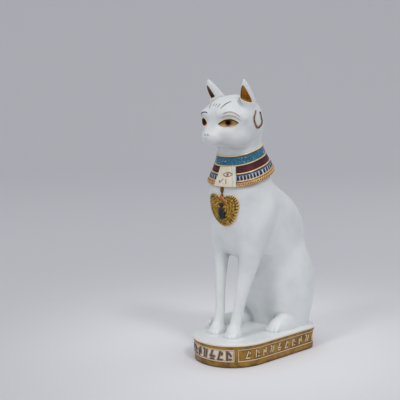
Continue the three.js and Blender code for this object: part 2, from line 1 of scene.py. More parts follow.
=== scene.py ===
# A seated cat in a broad collar, cast with its plinth: finished surfaces and paint around the fixed frame.
# Shapes are worked out in millimetres and put into meshes in metres. The cat looks along -Y, its left is +X.
import math
import bpy
import numpy as np
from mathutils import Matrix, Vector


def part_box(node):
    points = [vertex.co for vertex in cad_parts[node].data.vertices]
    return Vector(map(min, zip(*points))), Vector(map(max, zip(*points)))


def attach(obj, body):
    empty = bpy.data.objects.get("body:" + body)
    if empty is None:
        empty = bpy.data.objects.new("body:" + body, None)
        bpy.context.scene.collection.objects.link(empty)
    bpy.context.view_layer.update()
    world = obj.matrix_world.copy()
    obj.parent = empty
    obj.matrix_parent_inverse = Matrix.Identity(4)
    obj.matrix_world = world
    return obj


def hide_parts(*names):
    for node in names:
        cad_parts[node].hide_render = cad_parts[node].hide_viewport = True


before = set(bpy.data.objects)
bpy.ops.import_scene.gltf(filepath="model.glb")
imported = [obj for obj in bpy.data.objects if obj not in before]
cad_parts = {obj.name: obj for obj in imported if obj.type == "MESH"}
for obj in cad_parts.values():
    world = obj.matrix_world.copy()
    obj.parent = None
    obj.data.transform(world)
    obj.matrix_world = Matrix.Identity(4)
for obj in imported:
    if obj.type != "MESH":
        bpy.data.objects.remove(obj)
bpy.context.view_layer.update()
mm = 0.001
castingNode = "bastet_cat_casting"
boxLow, boxHigh = [np.array(corner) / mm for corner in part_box(castingNode)]
print("frame loaded, casting", np.round(boxHigh - boxLow, 2), "mm")

# The overall sizes. The cat's free form is written in hundredths of its own height above the plinth
plinth = dict(
    length=boxHigh[1] - boxLow[1], width=boxHigh[0] - boxLow[0], height=17.2,
    frontDepth=31, backDepth=17.5, frontSquare=2.15, backSquare=2.6,
    slab=1.6, overhang=0.5, lip=0.8, taper=0.9, endSteps=700, outlineSteps=2400,
)
earTipHundredths = 99.7
share = (boxHigh[2] - plinth["height"]) / earTipHundredths
plinthTop = plinth["height"]


# Height of a level in mm: the plinth's top plus its hundredths, each worth one share of the cat's height
def up(hundredths):
    return plinthTop + hundredths * share


# Smooth values between the rows of a short table: a natural cubic spline over its first column
def smoothCurve(table):
    table = np.array(table, float)
    keys, values = table[:, 0], table[:, 1:]
    count = len(keys)
    step = np.diff(keys)
    slope = np.diff(values, axis=0) / step[:, None]
    system = np.zeros((count, count))
    system[0, 0] = system[-1, -1] = 1
    middle = np.arange(1, count - 1)
    system[middle, middle - 1] = step[:-1]
    system[middle, middle] = 2 * (step[:-1] + step[1:])
    system[middle, middle + 1] = step[1:]
    right = np.zeros_like(values)
    right[1:-1] = 6 * np.diff(slope, axis=0)
    bend = np.linalg.solve(system, right)

    # Value at a key: the straight line between two rows plus the two cubic terms of their bends
    def at(key):
        key = np.clip(key, keys[0], keys[-1])
        i = np.clip(np.searchsorted(keys, key) - 1, 0, count - 2)
        run = step[i][..., None]
        a = (keys[i + 1] - key)[..., None] / run
        b = 1 - a
        value = a * values[i] + b * values[i + 1]
        value += ((a ** 3 - a) * bend[i] + (b ** 3 - b) * bend[i + 1]) * run ** 2 / 6
        return np.moveaxis(value, -1, 0)
    at.first, at.last = keys[0], keys[-1]
    return at


# Two distances joined: the lower of both, with a fillet about as wide as the third number
def join(a, b, fillet):
    near = np.maximum(fillet - np.abs(a - b), 0) / fillet
    return np.minimum(a, b) - near * near * fillet / 4


# What two forms share: the higher of both distances, with the same fillet
def both(a, b, fillet):
    return -join(-a, -b, fillet)


# A form with another cut out of it: the higher of its distance and the other's turned round
def cutBy(a, b, fillet):
    return -join(-a, b, fillet)


# Rises from 0 to 1 between two values, with level ends: three squares less two cubes of the way between
def smoothStep(value, low, high):
    t = np.clip((value - low) / (high - low), 0, 1)
    return t * t * (3 - 2 * t)


# About the distance to a superellipse: how far its value is from one, over the length of its gradient
def ovalDistance(x, y, halfX, halfY, square=2.0):
    a = np.abs(x) / halfX
    b = np.abs(y) / halfY
    q = np.maximum((a ** square + b ** square) ** (1 / square), 1e-3)
    gradX = (a / q) ** (square - 1) / halfX
    gradY = (b / q) ** (square - 1) / halfY
    return (q - 1) / np.sqrt(gradX * gradX + gradY * gradY)


# About the distance to an ellipsoid, in the same way, from its centre and its three radii
def ellipsoid(x, y, z, centre, radii):
    a, b, c = [(value - middle) / radius for value, middle, radius in zip((x, y, z), centre, radii)]
    q = np.sqrt(a * a + b * b + c * c)
    grad = np.sqrt((a / radii[0]) ** 2 + (b / radii[1]) ** 2 + (c / radii[2]) ** 2)
    return (q - 1) * q / np.maximum(grad, 1e-4)


# Distance to a straight rod: how far the nearest point of its line is, less a radius that changes evenly
def capsule(x, y, z, start, end, startRadius, endRadius):
    run = [b - a for a, b in zip(start, end)]
    length2 = sum(part * part for part in run)
    t = ((x - start[0]) * run[0] + (y - start[1]) * run[1] + (z - start[2]) * run[2]) / length2
    t = np.clip(t, 0, 1)
    apart = np.sqrt((x - start[0] - t * run[0]) ** 2 + (y - start[1] - t * run[1]) ** 2
                    + (z - start[2] - t * run[2]) ** 2)
    return apart - (startRadius + (endRadius - startRadius) * t)


# Distance to rods along a chain of points, each with its radius: the least of theirs
def rope(x, y, z, points, radii):
    nearest = None
    for i in range(len(points) - 1):
        rod = capsule(x, y, z, points[i], points[i + 1], radii[i], radii[i + 1])
        nearest = rod if nearest is None else np.minimum(nearest, rod)
    return nearest


# Body of level superellipses by half width, widest line, front, back and the squareness to front and back,
# closed flat at its top and, with a fillet given, at its bottom
def level(shape, x, y, z, topFillet=2.0, bottomFillet=None):
    halfWidth, widest, front, back, frontSquare, backSquare = shape((z - plinthTop) / share)
    behind = y > widest * share
    depth = np.where(behind, back - widest, widest - front) * share
    square = np.where(behind, backSquare, frontSquare)
    d = ovalDistance(x, y - widest * share, halfWidth * share, depth, square)
    d = both(d, z - up(shape.last), topFillet)
    return d if bottomFillet is None else both(d, up(shape.first) - z, bottomFillet)


# Body of level ovals turned about the vertical, by centre, half length and half width, closed at its top
def turned(shape, x, y, z, turn, topFillet):
    centreX, centreY, along, across = shape((z - plinthTop) / share)
    dx, dy = x - centreX * share, y - centreY * share
    a = dx * np.cos(turn) + dy * np.sin(turn)
    b = dy * np.cos(turn) - dx * np.sin(turn)
    d = ovalDistance(a, b, along * share, across * share)
    return both(d, z - up(shape.last), topFillet)


# Distance from the middle plane, as the root of two squares, so that the two sides meet smoothly
def fromMiddle(x, soft=1.0):
    return np.sqrt(x * x + soft * soft)


# Sections by level in hundredths: the trunk and neck, the haunches, and the shoulders with the front legs
trunkShape = smoothCurve([
    [-2.0, 11.5, 14.0, 7.5, 24.5, 2, 2.6],
    [1.6, 11.8, 14.0, 7.0, 25.2, 2, 2.6],
    [7.1, 12.2, 13.5, 4.5, 26.0, 2, 2.6],
    [15.3, 12.6, 12.5, 1.3, 26.3, 2, 2.6],
    [22.4, 12.8, 11.5, -0.4, 26.2, 2, 2.6],
    [26.5, 13.0, 10.4, -1.9, 25.5, 2, 2.5],
    [29.8, 13.0, 9.2, -6.5, 25.0, 2, 2.5],
    [32.2, 13.0, 8.2, -11.3, 25.0, 2, 2.5],
    [35.5, 13.0, 6.8, -13.9, 25.2, 2.1, 2.5],
    [40.5, 13.1, 4.8, -15.3, 24.7, 2.3, 2.5],
    [45.4, 13.1, 3.0, -16.0, 22.9, 2.5, 2.4],
    [49.2, 13.1, 0.8, -16.3, 20.1, 2.6, 2.3],
    [52.5, 13.1, -1.6, -16.4, 16.8, 2.65, 2.2],
    [55.7, 13.0, -4.2, -16.4, 12.3, 2.65, 2.1],
    [59.0, 12.7, -6.0, -16.3, 7.4, 2.5, 2],
    [62.3, 11.8, -6.4, -16.0, 5.2, 2.2, 2],
    [66.1, 10.3, -6.6, -15.2, 3.7, 2.3, 2],
    [70.5, 8.8, -6.7, -14.7, 2.2, 2.4, 2],
    [74.9, 8.2, -6.8, -14.5, 1.6, 2.4, 2],
    [79.2, 8.0, -7.1, -14.4, 1.1, 2.2, 2],
])
haunchShape = smoothCurve([
    [-2.0, 7.6, 15.2, 5.2, 7.0],
    [1.6, 7.8, 15.2, 5.7, 8.1],
    [6.0, 8.1, 15.1, 6.5, 9.3],
    [11.5, 8.2, 14.9, 7.2, 10.6],
    [18.0, 8.2, 14.3, 7.4, 11.4],
    [22.4, 8.1, 14.0, 7.35, 11.4],
    [25.6, 7.9, 13.7, 6.9, 10.9],
    [28.6, 7.5, 13.3, 6.4, 10.0],
    [31.6, 7.0, 12.8, 5.5, 8.8],
    [34.6, 6.4, 12.2, 4.4, 7.2],
    [37.4, 5.8, 11.6, 3.0, 5.2],
])
forelegShape = smoothCurve([
    [-1.0, 4.6, -15.9, 2.6, 2.4],
    [1.0, 4.6, -15.3, 2.5, 2.3],
    [3.8, 4.6, -14.5, 2.3, 2.1],
    [9.3, 4.9, -13.1, 2.1, 1.9],
    [18.0, 6.2, -11.8, 2.7, 2.1],
    [24.6, 7.1, -10.5, 3.4, 2.5],
    [30.1, 7.9, -9.5, 4.1, 3.1],
    [35.5, 8.2, -8.9, 4.9, 4.1],
    [41.0, 8.2, -7.9, 6.2, 5.3],
    [46.4, 8.1, -6.7, 7.0, 5.9],
    [51.0, 7.6, -5.7, 7.3, 6.0],
    [55.0, 6.9, -5.4, 6.2, 5.1],
    [58.5, 6.1, -5.6, 4.2, 3.6],
    [61.0, 5.4, -5.9, 1.8, 1.5],
])
frontPaw = dict(x=4.6, y=-15.7, length=7.2, halfWidth=3.1, height=4.9, toeReach=2.4)
hindPaw = dict(x=9.9, y=3.0, length=8.0, halfWidth=3.3, height=5.2, toeReach=2.9)
pawParts = dict(
    instepBack=1.6, instepMiddle=0.26, instepWidth=0.92, instepLength=0.46, instepHeight=0.68,
    toes=4, toeRadius=0.27, toeSpread=0.7, toeFan=0.26, toeLift=0.95, tipSwell=1.12, toeFillet=0.3,
    knuckleSpread=0.5, knuckleBack=5.0, knuckleHeight=0.62, knuckleSwell=0.8, fillet=0.9,
)
catBody = dict(
    step=0.7, haunchFillet=6, shoulderFillet=5, elbowTurn=math.pi / 4, pawFillet=3, hindPawFillet=2.5,
    tailFillet=1.2, hock=(10.6, 8.0, 2.0), hockRadii=(3.4, 5.2, 4.8), hockFillet=4.0, haunchTop=4.0,
    legTop=3.0, pawReach=22, foot=0.5, neckCut=145.2, cutFillet=0.05,
    low=(-30, -50, plinthTop - 1.5), high=(30, 50, 154),
)
tailForm = dict(
    route=[[-2, 22.4, 2.4], [-8.5, 21.4, 2.1], [-12, 16.8, 2], [-13.2, 11, 1.9],
           [-13.2, 4.5, 1.9], [-12.9, -2, 1.9], [-12, -8.5, 2.1], [-10.7, -13.2, 2.9]],
    radius=2.3, taper=0.35, tipLength=0.09, tipEnd=1.03, pieces=40, reach=16, side=4, behind=34,
)


# Tail: rods along a smooth route round the right haunch, their radius falling evenly and, near the tip, by
# the root of the way left
def tailField(x, y, z):
    form = tailForm
    place = np.linspace(0, len(form["route"]) - 1, form["pieces"])
    points = np.stack(smoothCurve([[i] + point for i, point in enumerate(form["route"])])(place), 1)
    run = np.r_[0, np.cumsum(np.linalg.norm(np.diff(points, axis=0), axis=1))]
    run /= run[-1]
    radii = share * (form["radius"] - form["taper"] * run)
    radii *= np.sqrt(np.minimum(1, (form["tipEnd"] - run) / form["tipLength"]))
    points *= share
    points[:, 2] += plinthTop
    return rope(x, y, z, points, radii)


# Paw: an ellipsoid for the instep joined with toes, each a rod from a knuckle down to a thicker tip
def pawField(x, y, z, form):
    parts = pawParts
    halfWidth, height = form["halfWidth"] * share, form["height"] * share
    centreX, centreY = form["x"] * share, form["y"] * share
    radius = halfWidth * parts["toeRadius"]
    middle = (parts["toes"] - 1) / 2
    instep = (centreX, centreY + parts["instepBack"], plinthTop + height * parts["instepMiddle"])
    instepSize = (halfWidth * parts["instepWidth"], form["length"] * parts["instepLength"] * share,
                  height * parts["instepHeight"])
    d = ellipsoid(x, y, z, instep, instepSize)
    toes = None
    for toe in range(parts["toes"]):
        spread = (toe - middle) / middle
        reach = form["toeReach"] - abs(spread) * form["halfWidth"] * parts["toeFan"]
        tip = (centreX + spread * halfWidth * parts["toeSpread"], centreY - reach * share,
               plinthTop + radius * parts["toeLift"])
        knuckle = (centreX + spread * halfWidth * parts["knuckleSpread"], tip[1] + parts["knuckleBack"],
                   plinthTop + height * parts["knuckleHeight"])
        one = capsule(x, y, z, knuckle, tip, radius * parts["knuckleSwell"], radius * parts["tipSwell"])
        toes = one if toes is None else join(toes, one, parts["toeFillet"])
    return join(d, toes, parts["fillet"])


farAway = 20.0  # a distance in mm beyond every fillet


# A form's distance where a mask is true, and a far one elsewhere
def onlyWhere(mask, form, x, y, z):
    out = np.full(np.shape(x), farAway)
    out[mask] = form(x[mask], y[mask], z[mask])
    return out


# Hind foot: the paw joined with an ellipsoid for the hock
def hindFootField(x, y, z):
    form = catBody
    centre = (form["hock"][0] * share, form["hock"][1] * share, up(form["hock"][2]))
    hock = ellipsoid(x, y, z, centre, [radius * share for radius in form["hockRadii"]])
    return join(pawField(x, y, z, hindPaw), hock, form["hockFillet"])


# The cat without its head: trunk, haunches, legs, paws and tail run into one another
def catField(x, y, z):
    form = catBody
    side = fromMiddle(x)
    low = z < plinthTop + form["pawReach"]
    d = level(trunkShape, x, y, z)
    d = join(d, turned(haunchShape, side, y, z, 0.0, form["haunchTop"]), form["haunchFillet"])
    leg = turned(forelegShape, side, y, z, form["elbowTurn"], form["legTop"])
    leg = join(leg, onlyWhere(low, lambda *p: pawField(*p, frontPaw), side, y, z), form["pawFillet"])
    d = join(d, leg, form["shoulderFillet"])
    d = join(d, onlyWhere(low, hindFootField, side, y, z), form["hindPawFillet"])
    nearTail = (z < plinthTop + tailForm["reach"]) & ((x < tailForm["side"]) | (y > tailForm["behind"]))
    return join(d, onlyWhere(nearTail, tailField, x, y, z), form["tailFillet"])


# Collar plane: level lines round the neck that drop towards the front
collarSlope = 0.3
collarMiddle = -6.6 * share


# Height over that plane's middle: the height less the slope times the way back
def slopedHeight(y, z):
    return z - collarSlope * (y - collarMiddle)


# The cat's body, cut off flat just inside the plinth's top and along the collar's plane under the collar
def catBodyField(x, y, z):
    d = catField(x, y, z)
    d = both(d, plinthTop - catBody["foot"] - z, catBody["cutFillet"])
    return both(d, slopedHeight(y, z) - catBody["neckCut"], catBody["cutFillet"])


# Sections of the skull by level, then of the muzzle by the way forward, both in hundredths
skullShape = smoothCurve([
    [73.6, 7.1, -8.2, -14.8, 0.0, 2, 2],
    [75.6, 8.6, -8.7, -17.0, 0.6, 2.1, 2],
    [77.6, 9.7, -9.0, -19.6, 1.2, 2.4, 2],
    [80.3, 10.7, -9.3, -20.9, 1.6, 2.9, 2],
    [83.6, 11.0, -9.3, -21.3, 1.5, 3.3, 2],
    [86.9, 10.7, -9.3, -21.1, 0.8, 3.1, 2],
    [89.6, 9.3, -9.3, -19.9, -0.3, 2.4, 2],
    [91.8, 7.2, -9.3, -17.4, -2.7, 2.1, 2],
    [93.2, 4.9, -9.6, -13.9, -5.2, 2, 2],
    [93.9, 1.6, -9.8, -11.2, -8.5, 2, 2],
])
muzzleShape = smoothCurve([
    [12, 80.0, 9.0, 5.6, 4.6],
    [16, 79.6, 8.2, 5.5, 4.0],
    [19, 79.0, 6.7, 4.9, 3.5],
    [21.4, 78.4, 5.1, 3.8, 3.0],
    [22.9, 78.0, 4.0, 2.9, 2.5],
    [24.0, 78.0, 2.8, 2.1, 1.8],
    [24.7, 78.3, 1.4, 1.1, 1.2],
])
ear = dict(
    base=(7.0, -8.5, 88.6), tip=(9.7, -14.4, earTipHundredths), halfWidth=2.9, halfDepth=3.6,
    faceTurn=0.42, hollow=dict(grow=0.84, shift=2.7, lift=0.78, inward=0.3), tipSwell=0.06, swellPower=0.8,
    shiftFall=0.3, tipFillet=0.4, root=3.0, rootFillet=1.0, frontGrow=0.45,
    hollowFoot=186.1, hollowSlope=0.47, hollowDip=0.12, dipFrom=3, hollowFillet=1.0,
)
catHead = dict(
    step=0.42, neckFillet=3, muzzleFillet=5, neckStart=144.4, soft=0.5, skullTop=3.0, skullBottom=4.0,
    muzzleSquare=2.2, muzzleTip=1.2, muzzleRoot=4.0, cutFillet=0.05, low=(-23, -50, 138), high=(23, 8, 201),
    faceTurn=math.radians(28), socket=(-5.6, 41.0, 170.2), socketRadii=(10.5, 4.4, 5.6), socketFillet=3.0,
    brow=[(6.0, -37.6, 175.4), (11.5, -36.4, 176.6), (16.0, -32.4, 175.6), (18.6, -27.5, 172.5)],
    browRadii=(0.6, 1.0, 0.9, 0.5), browFillet=4.5,
    cheek=(12.5, -27.5, 159.5), cheekRadii=(7.2, 8.5, 6.2), cheekFillet=4.0,
    whiskerPad=(3.4, -40.8, 159.4), whiskerPadRadii=(3.9, 3.0, 3.0), whiskerPadFillet=3.0,
    nose=(0.0, -43.3, 162.0), noseRadii=(2.4, 1.2, 1.6), noseFillet=1.6,
    nostril=(1.5, -45.4, 161.4), nostrilRadii=(0.96, 0.8, 0.64), nostrilFillet=0.8,
    mouth=[(0.3, -17.5), (0.4, -20), (4, -22.5), (9, -24)], mouthSteps=14,
    mouthRadius=0.62, mouthOut=0.5, mouthBehind=-34, mouthTop=165, mouthFillet=1.0,
    earSoft=0.3, earBelow=3, earFillet=2.2, hollowFillet=0.9,
)


# Muzzle: upright superellipses stepping forward from the face, each with a middle height, top and bottom
def muzzleField(x, y, z):
    form = catHead
    middle, halfWidth, top, bottom = muzzleShape(-y / share)
    rise = z - up(middle)
    halfHeight = np.where(rise > 0, top, bottom) * share
    d = ovalDistance(x, rise, halfWidth * share, halfHeight, form["muzzleSquare"])
    d = both(d, -y - muzzleShape.last * share, form["muzzleTip"])
    return both(d, y + muzzleShape.first * share, form["muzzleRoot"])


# Ear: level ovals along a leaning line, sized by a power of one less the height's square, deeper to the front
# at their foot, and closed flat at the tip and under the skull
def earField(side, y, z, grow, shift, lift, inward=0.0):
    form = ear
    base, tip = np.array(form["base"]), np.array(form["tip"])
    across = (math.cos(form["faceTurn"]), math.sin(form["faceTurn"]))
    forward = (math.sin(form["faceTurn"]), -math.cos(form["faceTurn"]))
    t = ((z - plinthTop) / share - base[2]) / ((tip[2] - base[2]) * lift)
    inside = np.clip(t, 0, 1)
    swell = (1 - inside ** 2) ** form["swellPower"] * (1 - form["tipSwell"]) + form["tipSwell"]
    lean = t * lift
    move = shift * (1 - form["shiftFall"] * t)
    dx = side - (base[0] + (tip[0] - base[0] - inward) * lean + forward[0] * move) * share
    dy = y - (base[1] + (tip[1] - base[1]) * lean + forward[1] * move) * share
    ahead = dx * forward[0] + dy * forward[1]
    deep = form["halfDepth"] * (1 + np.where(ahead > 0, form["frontGrow"] * (1 - inside), 0))
    d = ovalDistance(dx * across[0] + dy * across[1], ahead,
                     form["halfWidth"] * swell * grow * share, deep * swell * grow * share)
    tall = (tip[2] - base[2]) * lift * share
    d = both(d, (t - 1) * tall, form["tipFillet"])
    return both(d, -t * tall - form["root"], form["rootFillet"])


# The ear's outer form: its ovals at full size, unmoved
def outerEarField(side, y, z):
    return earField(side, y, z, 1, 0, 1)


# The hollow of the ear: smaller ovals moved to the front, above a foot that slopes down outwards and forwards
def earHollowField(side, y, z):
    form = ear
    base = np.array(form["base"]) * share
    across = (side - base[0]) * math.cos(form["faceTurn"]) + (y - base[1]) * math.sin(form["faceTurn"])
    ahead = (side - base[0]) * math.sin(form["faceTurn"]) - (y - base[1]) * math.cos(form["faceTurn"])
    foot = form["hollowFoot"] - form["hollowSlope"] * across
    foot = foot - form["hollowDip"] * np.maximum(ahead - form["dipFrom"], 0)
    return both(earField(side, y, z, **form["hollow"]), foot - z, form["hollowFillet"])


headMiddle = np.array([0.0, -17.0, 168.0])  # where the rays to the head's surface start


# Points on a field seen from the middle of the head, by degrees round from the front and degrees up
def onHead(field, around, rise, out=0.0, reach=(6.0, 36.0), steps=61):
    around, rise = np.broadcast_arrays(np.radians(around), np.radians(rise))
    ray = np.stack([np.sin(around) * np.cos(rise), -np.cos(around) * np.cos(rise), np.sin(rise)], -1)
    return alongRays(field, headMiddle, ray, reach, steps, out)


# Along each ray, the outermost place where the field is zero, first by even steps and then by halving, moved
# out along the field's slope
def alongRays(field, start, ray, reach, steps, out):
    shape, ray = ray.shape, ray.reshape(-1, 3)
    start = np.broadcast_to(np.asarray(start, float).reshape(-1, 3), ray.shape)
    length = np.linspace(reach[1], reach[0], steps)
    value = np.stack([field(*(start + ray * far).T) for far in length])
    first = np.argmax(value < 0, 0)
    outside, inside = length[first - 1], length[first]
    for _ in range(14):
        middle = (outside + inside) / 2
        within = field(*(start + ray * middle[:, None]).T) < 0
        inside = np.where(within, middle, inside)
        outside = np.where(within, outside, middle)
    points = start + ray * inside[:, None]
    slope = slopeOf(field, points, 0.3)
    slope /= np.linalg.norm(slope, axis=1, keepdims=True)
    return (points + slope * np.asarray(out, float).reshape(-1, 1)).reshape(shape)


# The head without its ears: skull and muzzle on the neck, with brows, cheeks, sockets, nose and nostrils
def faceField(x, y, z):
    form = catHead
    side = fromMiddle(x, form["soft"])
    skull = level(skullShape, x, y, z, form["skullTop"], form["skullBottom"])
    d = join(level(trunkShape, x, y, z), skull, form["neckFillet"])
    d = join(d, muzzleField(x, y, z), form["muzzleFillet"])
    d = join(d, ellipsoid(side, y, z, form["cheek"], form["cheekRadii"]), form["cheekFillet"])
    d = join(d, ellipsoid(side, y, z, form["whiskerPad"], form["whiskerPadRadii"]), form["whiskerPadFillet"])
    along = side * math.cos(form["faceTurn"]) + y * math.sin(form["faceTurn"])
    ahead = side * math.sin(form["faceTurn"]) - y * math.cos(form["faceTurn"])
    d = cutBy(d, ellipsoid(along, ahead, z, form["socket"], form["socketRadii"]), form["socketFillet"])
    d = join(d, rope(side, y, z, form["brow"], form["browRadii"]), form["browFillet"])
    d = join(d, ellipsoid(x, y, z, form["nose"], form["noseRadii"]), form["noseFillet"])
    nostril = ellipsoid(side, y, z, form["nostril"], form["nostrilRadii"])
    return cutBy(d, nostril, form["nostrilFillet"])


# The mouth's line as points just outside the face, from its angles
def mouthLine():
    angles = smoothCurve([[i, *pair] for i, pair in enumerate(catHead["mouth"])])
    around, rise = angles(np.linspace(0, len(catHead["mouth"]) - 1, catHead["mouthSteps"]))
    return onHead(faceField, around, rise, catHead["mouthOut"])


# The whole head: the face less the mouth's groove, joined with the ears, less their hollows
def headField(x, y, z):
    form = catHead
    side = fromMiddle(x, form["earSoft"])
    high = z > up(ear["base"][2] - form["earBelow"])
    front = (y < form["mouthBehind"]) & (z < form["mouthTop"])
    groove = onlyWhere(front, lambda *p: rope(*p, mouthPoints, mouthRadii), side, y, z)
    d = cutBy(faceField(x, y, z), groove, form["mouthFillet"])
    d = join(d, onlyWhere(high, outerEarField, side, y, z), form["earFillet"])
    return cutBy(d, onlyWhere(high, earHollowField, side, y, z), form["hollowFillet"])


# The same, cut off along the collar's plane below its top line
def catHeadField(x, y, z):
    return both(headField(x, y, z), catHead["neckStart"] - slopedHeight(y, z), catHead["cutFillet"])


# Closed surface where a field is zero: one point in each cell it passes through, at the mean of the
# crossings, and one four-sided face round each grid edge that it crosses
def surfaceNet(field, low, high, step):
    axes = [np.arange(start, end + step, step) for start, end in zip(low, high)]
    value = field(*np.meshgrid(*axes, indexing="ij"))
    inside = value < 0
    size = np.array(value.shape) - 1
    corners = [(i, j, k) for i in (0, 1) for j in (0, 1) for k in (0, 1)]

    # The array's values at one corner of every cell
    def shifted(array, corner):
        return array[tuple(slice(c, c + n) for c, n in zip(corner, size))]
    count = sum(shifted(inside, corner).astype(np.int8) for corner in corners)
    cells = (count > 0) & (count < 8)
    place = np.full(cells.shape, -1, np.int64)
    place[cells] = np.arange(cells.sum())
    total = np.zeros((cells.sum(), 3))
    crossings = np.zeros(cells.sum())
    for axis in range(3):
        for corner in (c for c in corners if c[axis] == 0):
            other = tuple(1 if i == axis else c for i, c in enumerate(corner))
            a, b = shifted(value, corner)[cells], shifted(value, other)[cells]
            hit = (a < 0) != (b < 0)
            point = np.tile(np.array(corner, float), (len(a), 1))
            point[:, axis] += np.where(hit, a / np.where(hit, a - b, 1), 0)
            total += point * hit[:, None]
            crossings += hit
    points = (np.argwhere(cells) + total / crossings[:, None]) * step + [axis[0] for axis in axes]
    faces = []
    for axis in range(3):
        u, v = (axis + 1) % 3, (axis + 2) % 3
        near = [slice(1, n) for n in size]
        near[axis] = slice(0, size[axis])
        far = list(near)
        far[axis] = slice(1, size[axis] + 1)
        a, b = inside[tuple(near)], inside[tuple(far)]
        edge = np.argwhere(a != b)
        edge += [0 if i == axis else 1 for i in range(3)]
        face = []
        for du, dv in ((-1, -1), (0, -1), (0, 0), (-1, 0)):
            cell = edge.copy()
            cell[:, u] += du
            cell[:, v] += dv
            face.append(place[cell[:, 0], cell[:, 1], cell[:, 2]])
        face = np.stack(face, 1)
        entering = ~a[a != b]
        face[entering] = face[entering][:, ::-1]
        faces.append(face)
    return points, np.concatenate(faces)


# Slope of a field at some points: the difference of its values a little to both sides, over the way between
def slopeOf(field, points, reach=0.05):
    slope = np.empty_like(points)
    for axis in range(3):
        ahead, behind = points.copy(), points.copy()
        ahead[:, axis] += reach
        behind[:, axis] -= reach
        slope[:, axis] = (field(*ahead.T) - field(*behind.T)) / (2 * reach)
    return slope


# Moves points onto the surface, each along the field's slope, by no more than a part of a step at a time
def settle(field, points, step, rounds=3):
    for _ in range(rounds):
        slope = slopeOf(field, points)
        steep = np.maximum((slope * slope).sum(1), 0.05)
        move = -field(*points.T)[:, None] * slope / steep[:, None]
        length = np.linalg.norm(move, axis=1, keepdims=True)
        points = points + move * np.minimum(1, 0.6 * step / np.maximum(length, 1e-9))
    return points


# Evens out a mesh: each point moves part of the way to the mean of the middles of the faces around it
def relax(points, faces, part=0.6):
    middles = points[faces].mean(1)
    total = np.stack([np.bincount(faces.ravel(), np.repeat(middles[:, axis], 4), len(points))
                      for axis in range(3)], 1)
    count = np.bincount(faces.ravel(), minlength=len(points))
    return points + part * (total / count[:, None] - points)


# Closed mesh of a field: its net, twice evened out and settled onto the surface again
def fieldSurface(field, low, high, step):
    points, faces = surfaceNet(field, low, high, step)
    for _ in range(2):
        points = settle(field, relax(points, faces), step, 2)
    return points, faces


# How hollow or proud the surface is: the mean of the field a little way off on all sides, over that way
def hollowness(field, points, reach=1.6):
    total = -6 * field(*points.T)
    for axis in range(3):
        for way in (-reach, reach):
            moved = points.copy()
            moved[:, axis] += way
            total += field(*moved.T)
    return -total / reach


mouthPoints = mouthLine()
mouthRadii = [catHead["mouthRadius"]] * len(mouthPoints)
print("forms ready")


# Faces of a loft over rings of equal count, with a fan over each end, turned to point outwards
def loft(rings, values=None):
    rings = np.asarray(rings, float)
    count, sides = rings.shape[:2]
    points = np.concatenate([rings.reshape(-1, 3), rings[:1].mean(1), rings[-1:].mean(1)])
    first = np.arange(sides)
    after = np.roll(first, -1)
    row = np.arange(count - 1)[:, None] * sides
    quads = np.stack([row + first, row + after, row + after + sides, row + first + sides], -1).reshape(-1, 4)
    hub, lastHub, lastRow = count * sides, count * sides + 1, (count - 1) * sides
    fans = np.concatenate([
        np.stack([np.full(sides, hub), after, first], 1),
        np.stack([np.full(sides, lastHub), lastRow + first, lastRow + after], 1),
    ])
    atPoints = {name: np.r_[value.ravel(), value[0].mean(), value[-1].mean()]
                for name, value in (values or {}).items()}
    return points, outward(points, [quads, fans]), atPoints


# Faces of a tube closed on itself both ways
def ringShell(rings, values=None):
    rings = np.asarray(rings, float)
    count, sides = rings.shape[:2]
    first = np.arange(sides)
    after = np.roll(first, -1)
    row = np.arange(count)[:, None] * sides
    nextRow = (np.arange(count)[:, None] + 1) % count * sides
    quads = np.stack([row + first, row + after, nextRow + after, nextRow + first], -1).reshape(-1, 4)
    points = rings.reshape(-1, 3)
    return points, outward(points, [quads]), {name: value.ravel() for name, value in (values or {}).items()}


# Turns every face round if the volume that they close, the sum of their triple products, is negative
def outward(points, faces):
    volume = 0.0
    for group in faces:
        corners = points[group]
        for i in range(1, group.shape[1] - 1):
            volume += np.einsum("ij,ij->", corners[:, 0], np.cross(corners[:, i], corners[:, i + 1]))
    return faces if volume > 0 else [group[:, ::-1] for group in faces]


# One piece from points in millimetres, with values at its points for its material to read
def addPiece(name, points, faces, material, values=None):
    mesh = bpy.data.meshes.new(name)
    faces = faces if isinstance(faces, list) else [faces]
    sizes = np.concatenate([np.full(len(group), group.shape[1]) for group in faces])
    mesh.vertices.add(len(points))
    mesh.vertices.foreach_set("co", (np.asarray(points) * mm).astype(np.float32).ravel())
    mesh.loops.add(int(sizes.sum()))
    corners = np.concatenate([group.ravel() for group in faces])
    mesh.loops.foreach_set("vertex_index", corners.astype(np.int32))
    mesh.polygons.add(len(sizes))
    mesh.polygons.foreach_set("loop_start", np.r_[0, np.cumsum(sizes)[:-1]].astype(np.int32))
    mesh.update(calc_edges=True)
    mesh.validate()
    mesh.shade_smooth()
    for key, value in (values or {}).items():
        stored = mesh.attributes.new(key, "FLOAT", "POINT")
        stored.data.foreach_set("value", np.asarray(value, np.float32).ravel())
    mesh.materials.append(material)
    piece = bpy.data.objects.new(name, mesh)
    bpy.context.scene.collection.objects.link(piece)
    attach(piece, "root")
    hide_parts(castingNode)
    print(name, len(points), "points", int((sizes - 2).sum()), "triangles")


# Several closed forms in one: their points in a row, and each one's faces counted on from the last
def gather(forms):
    points, faces, values = [], {}, {}
    start = 0
    for formPoints, formFaces, formValues in forms:
        points.append(formPoints)
        for group in formFaces:
            faces.setdefault(group.shape[1], []).append(group + start)
        for key, value in formValues.items():
            values.setdefault(key, []).append(value)
        start += len(formPoints)
    return (np.concatenate(points), [np.concatenate(groups) for groups in faces.values()],
            {key: np.concatenate(parts) for key, parts in values.items()})


